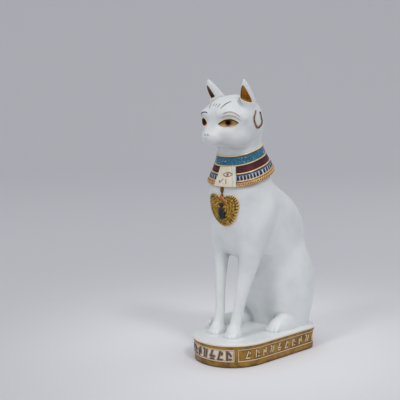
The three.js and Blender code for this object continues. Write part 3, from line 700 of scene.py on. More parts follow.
# Colour given as it looks on a screen, 0 to 255, made linear by the usual curve: a foot, then a power
def colour(red, green, blue):
    light = np.array([red, green, blue]) / 255
    light = np.where(light <= 0.04045, light / 12.92, ((light + 0.055) / 1.055) ** 2.4)
    return (*light.tolist(), 1.0)


# Adds a node and gives its sockets a value or a link each
def addNode(tree, kind, settings=None, sockets=None):
    node = tree.nodes.new(kind)
    for key, value in (settings or {}).items():
        setattr(node, key, value)
    for key, value in (sockets or {}).items():
        if isinstance(value, bpy.types.NodeSocket):
            tree.links.new(value, node.inputs[key])
        else:
            node.inputs[key].default_value = value
    return node


coatRoughness = 0.15  # of the clear coat over any paint


# A new material by its gloss, with its tree and its shader
def newPaint(name, roughness, metallic=0.0, coat=0.0, specular=0.5):
    material = bpy.data.materials.new(name)
    material.use_nodes = True
    tree = material.node_tree
    shader = tree.nodes["Principled BSDF"]
    shader.inputs["Roughness"].default_value = roughness
    shader.inputs["Metallic"].default_value = metallic
    shader.inputs["Coat Weight"].default_value = coat
    shader.inputs["Coat Roughness"].default_value = coatRoughness
    shader.inputs["Specular IOR Level"].default_value = specular
    return material, tree, shader


# Object coordinates in millimetres: a thousand times the place in metres
def inMillimetres(tree):
    place = addNode(tree, "ShaderNodeTexCoord")
    sockets = {0: place.outputs["Object"], "Scale": (1000, 1000, 1000)}
    scaled = addNode(tree, "ShaderNodeMapping", None, sockets)
    return scaled.outputs[0]


# Noise from 0 to 1 whose spots are about a size across, in mm
def noiseOf(tree, place, size, detail=3.0, rough=0.55):
    node = addNode(tree, "ShaderNodeTexNoise", None,
                   {"Vector": place, "Scale": 1 / size, "Detail": detail, "Roughness": rough})
    return node.outputs["Fac"]


# A value stored at the piece's own points
def valueOf(tree, name):
    return addNode(tree, "ShaderNodeAttribute", dict(attribute_name=name)).outputs["Fac"]


# Goes from a start to an end, with level ends, as a value goes from low to high
def ramp(tree, value, low, high, start=0.0, end=1.0):
    settings = dict(interpolation_type="SMOOTHSTEP", clamp=True)
    sockets = {"Value": value, "From Min": low, "From Max": high, "To Min": start, "To Max": end}
    return addNode(tree, "ShaderNodeMapRange", settings, sockets).outputs[0]


# Two values put together by one of Blender's sums
def reckon(tree, operation, a, b=0.0):
    return addNode(tree, "ShaderNodeMath", dict(operation=operation), {0: a, 1: b}).outputs[0]


# One colour over another, by a part from 0 to 1
def blendColours(tree, factor, first, second):
    node = addNode(tree, "ShaderNodeMix", dict(data_type="RGBA"),
                   {"Factor": factor, 6: first, 7: second})
    return node.outputs[2]


# Paint over a colour where a distance is below an edge
def paintInside(tree, base, distance, paint, edge=0.0, soft=0.12):
    return blendColours(tree, ramp(tree, distance, edge + soft, edge - soft), base, paint)


# Fine unevenness: a bump of the shading by a height from 0 to 1, over a distance in metres
def setBump(tree, shader, height, strength, distance):
    sockets = {"Height": height, "Strength": strength, "Distance": distance}
    bump = addNode(tree, "ShaderNodeBump", None, sockets)
    tree.links.new(bump.outputs[0], shader.inputs["Normal"])


# White satin paint, greyed by painted shade in the creases and a little warmer on the plinth's lip, a painted
# highlight
whiteFinish = dict(
    white=colour(228, 231, 231), shade=colour(160, 168, 170), lip=colour(240, 214, 184), lipHighlightPart=0.8,
    creaseFrom=0.05, creaseTo=0.9, creasePart=0.75, patch=14.0, patchPart=0.16,
    roughness=0.36, smoother=0.05, rougher=0.09, coat=0.12, brush=1.1, brushBump=0.12, brushDepth=0.00025,
)


# The white paint so far: the white, then grey by the larger of the painted shade in the creases and uneven
# patches, then the lip's tint, a painted highlight
def makeWhitePaint():
    look = whiteFinish
    material, tree, shader = newPaint("whiteSatinPaint", look["roughness"], coat=look["coat"])
    place = inMillimetres(tree)
    # Painted shade: grey where the surface is hollow
    crease = ramp(tree, valueOf(tree, "crease"), look["creaseFrom"], look["creaseTo"])
    uneven = ramp(tree, noiseOf(tree, place, look["patch"]), 0.35, 0.75, 0.0, look["patchPart"])
    wearAndShade = reckon(tree, "MAXIMUM", reckon(tree, "MULTIPLY", crease, look["creasePart"]), uneven)
    base = blendColours(tree, wearAndShade, look["white"], look["shade"])
    # Painted highlight: a cream-peach tint along the plinth's lip
    lip = reckon(tree, "MULTIPLY", valueOf(tree, "lip"), look["lipHighlightPart"])
    base = blendColours(tree, lip, base, look["lip"])
    return material, tree, shader, place, base


# The paint's gloss, in patches a third as wide, and its brush marks
def finishWhitePaint(material, tree, shader, place, base):
    look = whiteFinish
    tree.links.new(base, shader.inputs["Base Color"])
    sheen = ramp(tree, noiseOf(tree, place, look["patch"] / 3), 0.3, 0.7,
                 look["roughness"] - look["smoother"], look["roughness"] + look["rougher"])
    tree.links.new(sheen, shader.inputs["Roughness"])
    setBump(tree, shader, noiseOf(tree, place, look["brush"], 4.0), look["brushBump"], look["brushDepth"])
    return material


# Body: the field's surface in one closed mesh, with how hollow it is at each point
def makeBody():
    form = catBody
    points, faces = fieldSurface(catBodyField, form["low"], form["high"], form["step"])
    material = finishWhitePaint(*makeWhitePaint())
    # Painted shade: the crease value greys the white paint in the body's hollows
    addPiece("catBody", points, faces, material, dict(crease=hollowness(catField, points)))


makeBody()

# Paint in the ears' hollows, by how deep they lie below the ear's outer form: a cream edge, a dark line from
# and to a depth, and an ochre weave, which painted shade darkens in the right ear
earPaint = dict(
    ochre=colour(226, 160, 52), paleOchre=colour(206, 140, 42), mortar=colour(112, 72, 26),
    dark=colour(74, 46, 24), cream=colour(238, 222, 190), lineFrom=0.35, lineTo=0.85, farShade=0.7,
    weave=1.25, threadGap=0.08, threadSoft=0.6, threadHeight=0.6, deepest=4, hollowNear=0.5, crease=1.2,
)


# Head: the field's surface in one closed mesh, with how hollow it is and how deep in an ear at each point
def makeHead():
    form = catHead
    points, faces = fieldSurface(catHeadField, form["low"], form["high"], form["step"])
    material, tree, shader, place, base = makeWhitePaint()
    look = earPaint
    depth = valueOf(tree, "earDepth")
    weave = addNode(tree, "ShaderNodeTexBrick", None, {
        "Vector": place, "Scale": 1 / look["weave"], "Color1": look["ochre"], "Color2": look["paleOchre"],
        "Mortar": look["mortar"], "Mortar Size": look["threadGap"], "Mortar Smooth": look["threadSoft"],
        "Brick Width": 1.0, "Row Height": look["threadHeight"]})
    base = blendColours(tree, ramp(tree, depth, 0.02, look["lineFrom"] * 0.6), base, look["cream"])
    base = blendColours(tree, ramp(tree, depth, look["lineFrom"] - 0.1, look["lineFrom"]), base, look["dark"])
    # Painted shade: the weave of the right ear, the far one, is darkened
    farEarShade = reckon(tree, "MULTIPLY", valueOf(tree, "farSide"), look["farShade"])
    inner = blendColours(tree, farEarShade, weave.outputs[0], look["dark"])
    base = blendColours(tree, ramp(tree, depth, look["lineTo"] - 0.2, look["lineTo"] + 0.2), base, inner)
    finishWhitePaint(material, tree, shader, place, base)
    side = np.abs(points[:, 0])
    high = points[:, 2] > up(ear["base"][2] - 1)
    outer = onlyWhere(high, outerEarField, side, points[:, 1], points[:, 2])
    hollow = onlyWhere(high, earHollowField, side, points[:, 1], points[:, 2])
    earDepth = np.where(hollow < look["hollowNear"], np.clip(-outer, 0, look["deepest"]), 0)
    # Painted shade: the crease value greys the white paint in the hollows of the face and ears
    crease = hollowness(headField, points, look["crease"])
    values = dict(crease=crease, earDepth=earDepth, farSide=points[:, 0] < 0)
    addPiece("catHead", points, faces, material, values)


makeHead()
print("cat ready")


# Points along the plinth's outline by length from the middle of the front, at a line just under its lip,
# with the way out from it: a superellipse for each end and straight sides between them
def outlineHalf():
    form = plinth
    halfWidth = form["width"] / 2 - form["overhang"]
    angle = np.linspace(0, math.pi / 2, form["endSteps"])

    # Points of one end: the cosine and sine of an angle, each to a power set by the squareness
    def end(middle, depth, square):
        x = np.cos(angle) ** (2 / square) * halfWidth
        return x, middle + np.sin(angle) ** (2 / square) * depth
    frontX, frontY = end(0, form["frontDepth"] - form["overhang"], form["frontSquare"])
    backX, backY = end(form["length"] / 2 - form["backDepth"], form["backDepth"] - form["overhang"],
                       form["backSquare"])
    frontY = form["frontDepth"] - form["length"] / 2 - frontY
    x = np.r_[frontX[::-1], backX]
    y = np.r_[frontY[::-1], backY]
    run = np.r_[0, np.cumsum(np.hypot(np.diff(x), np.diff(y)))]
    even = np.linspace(0, run[-1], form["outlineSteps"])
    x, y = np.interp(even, run, x), np.interp(even, run, y)
    alongX, alongY = np.gradient(x), np.gradient(y)
    size = np.hypot(alongX, alongY)
    return even, x, y, alongY / size, -alongX / size


outlineRun, outlineX, outlineY, outlineOutX, outlineOutY = outlineHalf()
loopHalf = outlineRun[-1]


# Point of the plinth's side: distance round from the front, height, and how far out of the outline
def sidePoint(distance, z, out):
    far = np.abs(distance)
    side = np.sign(distance)
    x = np.interp(far, outlineRun, outlineX) + np.interp(far, outlineRun, outlineOutX) * out
    y = np.interp(far, outlineRun, outlineY) + np.interp(far, outlineRun, outlineOutY) * out
    return np.stack(np.broadcast_arrays(side * x, y, z), -1)


# The plinth's top: how finely it is laid out, the fillet where the cat meets it with its painted shade, and
# its lip with its painted highlight
plinthTopForm = dict(columns=760, rings=84, firstRing=0.012, fillet=1.5, filletRise=0.85, over=0.3,
                     lipSteps=7, under=1.6, highlightFrom=0.25, crease=0.7)


# Top of the plinth: rings from its middle to the lip, lifted by the square of how near the cat is, then the
# lip's quarter round and the underside
def makePlinthTop():
    form = plinthTopForm
    loop = (np.arange(form["columns"]) + 0.5) / form["columns"] * 2 * loopHalf - loopHalf
    edge = sidePoint(loop, 0.0, plinth["overhang"] - plinth["lip"])
    grow = np.linspace(form["firstRing"], 1, form["rings"])[:, None, None]
    middle = np.array([0.0, edge[:, 1].mean(), 0.0])
    rings = middle + (edge - middle) * grow
    x, y = rings[..., 0].ravel(), rings[..., 1].ravel()
    near = catField(x, y, np.full(x.shape, plinthTop + form["over"])).reshape(rings.shape[:2])
    rise = form["fillet"] * form["filletRise"] * (1 - np.clip(near / form["fillet"], 0, 1)) ** 2
    rings[..., 2] = plinthTop + rise
    turn = np.linspace(0, math.pi / 2, form["lipSteps"])[1:]
    lip = [sidePoint(loop, plinthTop - plinth["lip"] * (1 - math.cos(a)),
                     plinth["overhang"] - plinth["lip"] * (1 - math.sin(a))) for a in turn]
    bottom = plinthTop - plinth["slab"]
    under = [sidePoint(loop, bottom, plinth["overhang"]), sidePoint(loop, bottom, -form["under"])]
    rings = np.concatenate([rings, lip, under])
    # Painted highlight: the lip's rings take the white paint's cream-peach lip tint
    lipHighlight = np.zeros(rings.shape[:2])
    lipHighlight[form["rings"]:] = np.linspace(form["highlightFrom"], 1, len(lip) + len(under))[:, None]
    # Painted shade: the fillet where the cat meets the plinth is greyed by its rise
    crease = np.zeros(rings.shape[:2])
    crease[:form["rings"]] = rise / form["fillet"] * form["crease"]
    points, faces, values = loft(rings, dict(lip=lipHighlight, crease=crease))
    addPiece("plinthTop", points, faces, finishWhitePaint(*makeWhitePaint()), values)


makePlinthTop()

# Side of the plinth: framed panels sunk in it, with rows of raised strokes. A figure of the rows has a width,
# a gap to the next, a stroke's width, and margins under and over it
plinthBand = dict(
    columns=1060, rowHeight=0.25, lowMargin=4.2, topMargin=2.1, depth=0.5, frame=0.26, frameInset=0.5,
    frameRaise=0.4, figureRaise=0.6, panelGap=2.4, frontLength=47, backLength=20, footRound=0.5,
    footSteps=4, inner=14, foot=2, topRise=0.3, beyond=9.0, footDarkHeight=2.2, lipDarkHeight=0.9, lipDarkPart=0.8,
    frontFigure=dict(width=4.2, gap=2.1, stroke=1.15, low=0.9, high=0.9),
    sideFigure=dict(width=4.0, gap=3.6, stroke=0.72, low=1.8, high=1.5),
)
# Straight strokes of each figure, from end to end, in parts of its width and height
strokeFigures = [
    [[(0.3, 0), (0.3, 1)], [(0.6, 0.85), (0.95, 0.5)], [(0.7, 0.1), (0.95, 0.1)]],
    [[(0.05, 0.35), (0.95, 0.35)], [(0.3, 0.45), (0.6, 1)], [(0.15, 0.05), (0.75, 0.05)]],
    [[(0.2, 0), (0.2, 0.8)], [(0.75, 0.3), (0.75, 1)], [(0.45, 0.45), (0.5, 0.6)]],
    [[(0.1, 0.05), (0.9, 0.05)], [(0.25, 0.2), (0.6, 0.95)], [(0.85, 0.6), (0.9, 0.8)]],
    [[(0.1, 0.1), (0.4, 0.9)], [(0.6, 0.1), (0.9, 0.9)], [(0.1, 0.95), (0.2, 1.0)]],
]


# Distance from points of the band to a straight stroke: how far the nearest point between its ends is
def strokeDistance(along, z, start, end):
    run = np.subtract(end, start)
    t = np.clip(((along - start[0]) * run[0] + (z - start[1]) * run[1]) / (run @ run), 0, 1)
    return np.hypot(along - start[0] - t * run[0], z - start[1] - t * run[1])


# Signed distance to a rectangle: the corner's distance outside it, less the nearest side's within it
def rectangleDistance(along, z, span, low, high):
    across = np.abs(along - sum(span) / 2) - (span[1] - span[0]) / 2
    upright = np.abs(z - (low + high) / 2) - (high - low) / 2
    outside = np.hypot(np.maximum(across, 0), np.maximum(upright, 0))
    return outside + np.minimum(np.maximum(across, upright), 0)


# Each panel's start and end along the band, with its figures: front, two sides, and two halves at the back
def bandPanels():
    form = plinthBand
    frontEnd = form["frontLength"] / 2
    backEnd = loopHalf - form["panelGap"] / 2
    backStart = backEnd - form["backLength"]
    sideSpan = (frontEnd + form["panelGap"], backStart - form["panelGap"])
    return [
        ((-frontEnd, frontEnd), form["frontFigure"]), (sideSpan, form["sideFigure"]),
        ((-sideSpan[1], -sideSpan[0]), form["sideFigure"]),
        ((backStart, backEnd), None), ((-backEnd, -backStart), None),
    ]


# Distance to the nearest stroke of a row of figures, as many as fill the panel, spaced about its middle
def rowDistance(along, z, span, figure, low, high):
    width, gap = figure["width"], figure["gap"]
    count = int((span[1] - span[0] - gap) // (width + gap))
    first = (span[0] + span[1] - (count * (width + gap) - gap)) / 2
    nearest = np.full(np.shape(along), plinthBand["beyond"])
    for i in range(count):
        for ends in strokeFigures[(i * 2 + 3) % len(strokeFigures)]:
            start, end = [(first + i * (width + gap) + u * width, low + v * (high - low)) for u, v in ends]
            nearest = np.minimum(nearest, strokeDistance(along, z, start, end))
    return nearest


# Antique gold paint of the band
goldWash = dict(
    gold=colour(162, 118, 32), brown=colour(90, 60, 12), bright=colour(196, 160, 84),
    cream=colour(232, 208, 172), pale=colour(226, 216, 200), violet=colour(92, 70, 74),
    copper=colour(170, 100, 50), bandDark=colour(40, 28, 12), roughness=0.42, metallic=0.25, brightPart=0.3,
    recessPart=0.75, bandDarkPart=0.8, grain=0.5, grainBump=0.3, grainDepth=0.0003,
)


# The band's paint: gold and brown in patches, a pale ground in the front panel, painted shade in brown beside
# the raised strokes and frame lines, painted strokes and frame lines, and darker brown at the foot and under
# the lip
def makeBandPaint():
    look = goldWash
    material, tree, shader = newPaint("antiqueGoldPaint", look["roughness"], look["metallic"])
    place = inMillimetres(tree)
    patch = ramp(tree, noiseOf(tree, place, 7.0, 4.0), 0.35, 0.68)
    fine = ramp(tree, noiseOf(tree, place, 0.9, 3.0), 0.3, 0.75)
    base = blendColours(tree, patch, look["gold"], look["brown"])
    base = blendColours(tree, reckon(tree, "MULTIPLY", fine, look["brightPart"]), base, look["bright"])
    wide = ramp(tree, noiseOf(tree, place, 11.0), 0.56, 0.72, 0.0, 0.55)
    base = blendColours(tree, wide, base, look["copper"])
    groundPatch = ramp(tree, noiseOf(tree, place, 2.2, 2.0), 0.4, 0.62)
    ground = blendColours(tree, groundPatch, look["pale"], look["cream"])
    base = paintInside(tree, base, valueOf(tree, "frontPanel"), ground, -plinthBand["frameInset"])
    # Painted shade: brown beside the raised strokes and frame lines
    recess = ramp(tree, valueOf(tree, "recess"), 0.1, 0.75, 0.0, look["recessPart"])
    base = blendColours(tree, recess, base, look["brown"])
    strokePaint = blendColours(tree, valueOf(tree, "isFront"), look["cream"], look["violet"])
    base = paintInside(tree, base, valueOf(tree, "stroke"), strokePaint, 0.02, 0.14)
    base = paintInside(tree, base, valueOf(tree, "frameLine"), look["cream"], 0.0, 0.14)
    # Darker brown towards the foot and just under the lip
    bandDark = ramp(tree, valueOf(tree, "foot"), 0.0, 1.0, 0.0, look["bandDarkPart"])
    base = blendColours(tree, bandDark, base, look["bandDark"])
    tree.links.new(base, shader.inputs["Base Color"])
    setBump(tree, shader, noiseOf(tree, place, look["grain"], 4.0), look["grainBump"], look["grainDepth"])
    return material


# The band: the outline carried up a profile with a rounded foot, sunk in the panels and raised again by soft
# steps over the strokes and frame lines
def makePlinthBand():
    form = plinthBand
    bandTop = plinthTop - plinth["slab"]
    loop = (np.arange(form["columns"]) + 0.5) / form["columns"] * 2 * loopHalf - loopHalf
    heights = np.arange(form["footRound"], bandTop, form["rowHeight"])
    turn = np.linspace(0, math.pi / 2, form["footSteps"])
    footZ = form["footRound"] * (1 - np.cos(turn))[:-1]
    footOut = form["footRound"] * (np.sin(turn) - 1)[:-1]
    hiddenTop = bandTop + form["topRise"]
    z = np.r_[0, 0, footZ, heights, bandTop, hiddenTop, hiddenTop]
    out = np.r_[-form["inner"], -form["foot"], footOut, np.zeros(len(heights)), 0, 0, -form["inner"]]
    out = out - plinth["taper"] * (1 - np.clip(z / bandTop, 0, 1))
    along, height = np.meshgrid(loop, z)
    low, high = form["lowMargin"], bandTop - form["topMargin"]
    panel = stroke = front = np.full(along.shape, form["beyond"])
    for span, figure in bandPanels():
        inside = rectangleDistance(along, height, span, low, high)
        panel = np.minimum(panel, inside)
        if figure:
            half = figure["stroke"] / 2
            row = rowDistance(along, height, span, figure, low + figure["low"] + half,
                              high - figure["high"] - half)
            stroke = np.minimum(stroke, np.where(inside < -0.6, row - half, form["beyond"]))
        if span[0] == -span[1]:
            front = inside
    frameLine = np.abs(panel + form["frameInset"]) - form["frame"]
    sunk = smoothStep(-panel, -0.05, 0.35) * form["depth"]
    raised = smoothStep(-stroke, -0.18, 0.3) * form["figureRaise"]
    raised = np.maximum(raised, smoothStep(-frameLine, -0.15, 0.25) * form["frameRaise"])
    rings = sidePoint(loop[None, :], z[:, None], (out[:, None] - sunk + raised))
    line = np.minimum(stroke, frameLine)
    # Painted shade: brown that fades out from the raised strokes and frame lines across the sunk panels
    recess = np.exp(-np.maximum(line, 0) / 0.5) * (panel < 0) * (line > 0)
    # Darker towards the foot and in a strip just under the lip
    foot = np.clip(1 - height / form["footDarkHeight"], 0, 1)
    underLip = np.clip(1 - (bandTop - height) / form["lipDarkHeight"], 0, 1)
    foot = np.maximum(foot, underLip * form["lipDarkPart"])
    values = dict(frontPanel=front, isFront=front < 0.5, stroke=stroke, frameLine=frameLine, recess=recess,
                  foot=foot)
    points, faces, values = loft(rings, values)
    addPiece("plinthBand", points, faces, makeBandPaint(), values)


makePlinthBand()
print("plinth ready")

# Broad collar, in rows down the front of the neck: a line, a band, a line and so on, and a rim at the bottom
collar = dict(
    top=up(73.2), lineHeight=0.8, lineRaise=1.1, bandHeights=(5.5, 4.5, 3.9), bandRaise=0.7, rimHeight=3.2,
    rimRaise=1.4, step=0.05, inside=1.6, edge=0.22, edgeTurn=0.3, columns=540,
)
# Its sections by the part of the way down: half width, widest line, front, back and squareness to the front
collarShape = smoothCurve([
    [0, 8.2, -6.6, -14.7, 1.7, 2.4],
    [0.33, 9.5, -6.6, -15.1, 3.0, 2.45],
    [0.59, 10.9, -6.6, -15.5, 4.4, 2.5],
    [0.82, 12.1, -6.6, -15.9, 5.5, 2.55],
    [1, 12.6, -6.6, -16.1, 6.0, 2.6],
])


# Where each row starts and ends, down from the collar's top: the heights added up, with a step between
def collarRows():
    form = collar
    rows, down = [], 0.0
    line = form["lineHeight"]
    for height in (line, form["bandHeights"][0], line, form["bandHeights"][1], line, form["bandHeights"][2],
                   line, form["rimHeight"]):
        rows.append((down, down + height))
        down += height + form["step"]
    return rows


collarStarts = collarRows()
collarLength = collarStarts[-1][1]


# Power of a value's size, with its sign kept
def signedPower(value, exponent):
    return np.sign(value) * np.abs(value) ** exponent


# Point of the collar: a superellipse by the angle round from the cat's left, on the sloping plane that lies a
# distance down, and moved out
def collarPoint(angle, down, out):
    halfWidth, widest, front, back, square = collarShape(down / collarLength)
    behind = np.sin(angle) > 0
    depth = np.where(behind, back - widest, widest - front)
    bend = np.where(behind, 1, 2 / square)
    x = signedPower(np.cos(angle), bend) * (halfWidth * share + out)
    y = widest * share + signedPower(np.sin(angle), bend) * (depth * share + out)
    return np.stack([x, y, collar["top"] - down + collarSlope * (y - widest * share)], -1)


# One row of the collar as a closed ring: level across its height, with round edges, and a wave added on it
def collarBand(row, raised, steps, wave=None, columns=collar["columns"]):
    start, end = collarStarts[row]
    edge = collar["edge"]
    turn = edge * collar["edgeTurn"]
    across = np.r_[0, 0, turn, np.linspace(edge, end - start - edge, steps), end - start - turn, end - start,
                   end - start]
    out = np.r_[-collar["inside"], raised - edge, raised - turn, np.full(steps, raised), raised - turn,
                raised - edge, -collar["inside"]]
    angle = np.arange(columns)[:, None] / columns * 2 * math.pi
    angle, across = np.broadcast_arrays(angle, across[None, :])
    lift = 0 if wave is None else wave(angle, across) * (out > raised - 0.01)
    points = collarPoint(angle, start + across, out + lift)
    return points, angle, across


# The three fine lines and the top one: cream to gold, with a painted shadow in olive down their lower edge
collarLines = dict(cream=colour(246, 226, 188), gold=colour(226, 190, 130), olive=colour(66, 64, 40),
                   olivePart=0.9, roughness=0.35, metallic=0.35, steps=4)


# Each line is a collar row of its own, raised over the bands on both sides
def makeCollarLines():
    look = collarLines
    for name, slot, rows, start in (("collarTopLine", "cream_paint", [0], look["cream"]),
                                    ("collarLines", "gold_paint", [2, 4, 6], look["gold"])):
        material, tree, shader = newPaint(name + "Paint", look["roughness"], look["metallic"])
        place = inMillimetres(tree)
        base = blendColours(tree, ramp(tree, noiseOf(tree, place, 1.6), 0.35, 0.7), start, look["cream"])
        # Painted shadow: olive down the lower edge of each line
        lower = ramp(tree, valueOf(tree, "across"), 0.4, 0.75)
        base = blendColours(tree, reckon(tree, "MULTIPLY", lower, look["olivePart"]), base, look["olive"])
        tree.links.new(base, shader.inputs["Base Color"])
        forms = []
        for row in rows:
            points, _, across = collarBand(row, collar["lineRaise"], look["steps"])
            forms.append(ringShell(points, dict(across=across)))
        addForms(name, forms, material)


# Several closed forms put in as one piece
def addForms(name, forms, material):
    points, faces, values = gather(forms)
    addPiece(name, points, faces, material, values)


# Turquoise glaze: two blues in patches, pale veins and specks, and a painted shadow in olive under the line
# above
turquoiseBand = dict(
    teal=colour(24, 112, 144), deepTeal=colour(14, 78, 110), paleTeal=colour(120, 186, 200),
    speck=colour(220, 240, 238), olive=colour(66, 64, 40), patch=2.6, vein=1.1, speckSize=1.7,
    roughness=0.3, coat=0.3, grain=0.8, grainBump=0.25, grainDepth=0.0003, steps=9,
)


# The second row of the collar, level across its height
def makeTurquoiseBand():
    look = turquoiseBand
    material, tree, shader = newPaint("turquoisePaint", look["roughness"], coat=look["coat"])
    place = inMillimetres(tree)
    across = valueOf(tree, "across")
    patch = ramp(tree, noiseOf(tree, place, look["patch"], 4.0), 0.38, 0.66)
    vein = ramp(tree, noiseOf(tree, place, look["vein"], 3.0), 0.56, 0.72, 0.0, 0.7)
    speck = ramp(tree, noiseOf(tree, place, look["speckSize"], 1.0), 0.7, 0.74)
    base = blendColours(tree, patch, look["teal"], look["deepTeal"])
    base = blendColours(tree, vein, base, look["paleTeal"])
    base = blendColours(tree, speck, base, look["speck"])
    # Painted shadow: olive under the raised line above
    base = blendColours(tree, ramp(tree, across, 1.1, 0.3, 0.0, 0.85), base, look["olive"])
    base = blendColours(tree, ramp(tree, across, 5.2, 6.0, 0.0, 0.5), base, look["paleTeal"])
    tree.links.new(base, shader.inputs["Base Color"])
    setBump(tree, shader, noiseOf(tree, place, look["grain"]), look["grainBump"], look["grainDepth"])
    points, _, across = collarBand(1, collar["bandRaise"], look["steps"])
    addForms("collarTurquoise", [ringShell(points, dict(across=across))], material)


# Burgundy paint, darker in patches, with a painted shadow under the line above
burgundyBand = dict(wine=colour(92, 14, 28), deepWine=colour(44, 6, 16), roughness=0.45, specular=0.3,
                    patch=2.0, ripple=0.08, rippleLength=1.25, steps=12)


# The fourth row, with a cosine ripple down its height
def makeBurgundyBand():
    look = burgundyBand
    material, tree, shader = newPaint("burgundyPaint", look["roughness"], specular=look["specular"])
    place = inMillimetres(tree)
    patch = ramp(tree, noiseOf(tree, place, look["patch"]), 0.35, 0.7)
    base = blendColours(tree, patch, look["wine"], look["deepWine"])
    # Painted shadow: deeper wine under the raised line above
    shade = ramp(tree, valueOf(tree, "across"), 1.5, 0.5, 0.0, 0.85)
    base = blendColours(tree, shade, base, look["deepWine"])
    tree.links.new(base, shader.inputs["Base Color"])

    # A cosine of the way down, one wave for each ripple's length
    def ripple(angle, across):
        return look["ripple"] * np.cos(across * 2 * math.pi / look["rippleLength"])
    points, _, across = collarBand(3, collar["bandRaise"], look["steps"], ripple)
    addForms("collarBurgundy", [ringShell(points, dict(across=across))], material)


# Navy petals on a ground that pales from blue to white down the row. A petal is an oval by its middle's way
# down, half width, half height and squareness
navyBand = dict(
    navy=colour(14, 18, 46), blue=colour(96, 124, 184), white=colour(226, 230, 238), roughness=0.35, coat=0.2,
    petals=46, around=150.0, petal=dict(middle=2.7, halfWidth=1.22, halfHeight=1.75, square=2.2),
    petalRaise=0.3, topEdge=0.75, columnsEach=18, steps=22,
)


# Signed distance to the nearest petal: the superellipse's own, with the angle wrapped at each petal
def petalDistance(angle, across):
    form, petal = navyBand, navyBand["petal"]
    along = (np.mod(angle * form["petals"] / (2 * math.pi), 1) - 0.5) * form["around"] / form["petals"]
    halfSize = (petal["halfWidth"], petal["halfHeight"])
    return ovalDistance(along, across - petal["middle"], *halfSize, petal["square"])


# The sixth row, raised by a soft step inside each petal
def makeNavyBand():
    look = navyBand
    material, tree, shader = newPaint("navyPaint", look["roughness"], coat=look["coat"])
    place = inMillimetres(tree)
    across = valueOf(tree, "across")
    ground = blendColours(tree, ramp(tree, across, 0.8, 2.2), look["blue"], look["white"])
    spots = ramp(tree, noiseOf(tree, place, 1.0), 0.45, 0.7, 0.0, 0.4)
    ground = blendColours(tree, spots, ground, look["blue"])
    base = paintInside(tree, ground, valueOf(tree, "petal"), look["navy"], 0.08, 0.16)
    base = paintInside(tree, base, across, look["navy"], look["topEdge"], 0.2)
    tree.links.new(base, shader.inputs["Base Color"])

    # A soft step over each petal's edge
    def petalRise(angle, across):
        return look["petalRaise"] * smoothStep(-petalDistance(angle, across), -0.3, 0.4)
    columns = look["petals"] * look["columnsEach"]
    points, angle, across = collarBand(5, collar["bandRaise"], look["steps"], petalRise, columns)
    values = dict(across=across, petal=petalDistance(angle, across))
    addForms("collarNavy", [ringShell(points, values)], material)


# Plaited rim: paint by how high a strand stands, from painted shade in brown in the gaps to a painted
# highlight in cream on the crests
collarRim = dict(
    copper=colour(136, 84, 34), amber=colour(214, 156, 82), cream=colour(246, 226, 188),
    gold=colour(226, 190, 130), brown=colour(78, 48, 20), roughness=0.3, metallic=0.3,
    braids=92, slant=0.9, parting=0.16, partingDepth=0.75, braidRaise=0.45, bulge=0.25,
    columnsEach=10, steps=20,
)


# Height of the plait, 0 to 1: a cosine along slanting strands, lowered by a bell at the parting in the middle
# and to nothing at both edges
def braid(angle, across):
    form = collarRim
    row = across / collar["rimHeight"] * 2 - 1
    strand = angle * form["braids"] / (2 * math.pi) - np.abs(row) * form["slant"]
    parting = 1 - form["partingDepth"] * np.exp(-(row / form["parting"]) ** 2)
    return (0.5 + 0.5 * np.cos(strand * 2 * math.pi)) * parting * (1 - row ** 4)


# The last row, raised by the plait over a round bulge
def makeCollarRim():
    look = collarRim
    material, tree, shader = newPaint("collarRimPaint", look["roughness"], look["metallic"])
    place = inMillimetres(tree)
    crest = valueOf(tree, "crest")
    # Painted shade and highlight: copper low in the plait to amber higher, cream on the crests and brown in
    # the gaps
    base = blendColours(tree, ramp(tree, crest, 0.05, 0.5), look["copper"], look["amber"])
    base = blendColours(tree, ramp(tree, crest, 0.55, 0.9, 0.0, 0.8), base, look["cream"])
    base = blendColours(tree, ramp(tree, noiseOf(tree, place, 6.0), 0.42, 0.7, 0.0, 0.5), base, look["gold"])
    base = blendColours(tree, ramp(tree, crest, 0.14, 0.0, 0.0, 0.75), base, look["brown"])
    tree.links.new(base, shader.inputs["Base Color"])

    # The braid's height, and a bulge of one less the square of the way from the row's middle
    def plait(angle, across):
        row = across / collar["rimHeight"] * 2 - 1
        return look["braidRaise"] * braid(angle, across) + look["bulge"] * (1 - row ** 2)
    raised = collar["rimRaise"] - look["bulge"]
    columns = look["braids"] * look["columnsEach"]
    points, angle, across = collarBand(7, raised, look["steps"], plait, columns)
    addForms("collarRim", [ringShell(points, dict(crest=braid(angle, across)))], material)


# White panel over the collar's front, from under its top band to the rim. Its sides are angles in degrees,
# its marks are laid in mm from its left edge and up from its foot
collarPanel = dict(
    topFrom=-96, topTo=-61, bottomFrom=-101, bottomTo=-63, raised=1.6, lift=0.75, liftFrom=0.5, liftTo=0.8,
    columns=150, rows=140, width=24, overRim=0.15, edgeDrop=0.25, edgeRound=0.12, sunk=1, strip=3.2,
    edge=0.35, eyeMiddle=(9.6, 4.9), eyeSize=(3.9, 1.35), eyeLine=0.3, eyeDot=(1.1, 0.9), eyeSquare=1.5,
    tick=[(4.2, 9.0), (5.4, 10.2), (6.9, 8.0)], tickWidth=0.4, dash=[(9.8, 8.2), (11.6, 10.6)],
    dashWidth=0.32, ivory=colour(232, 230, 218), peach=colour(240, 218, 180),
    stripGreen=colour(196, 212, 204), gold=colour(226, 190, 130), copper=colour(136, 84, 34),
    violet=colour(126, 84, 130), grey=colour(120, 128, 134), roughness=0.38,
)


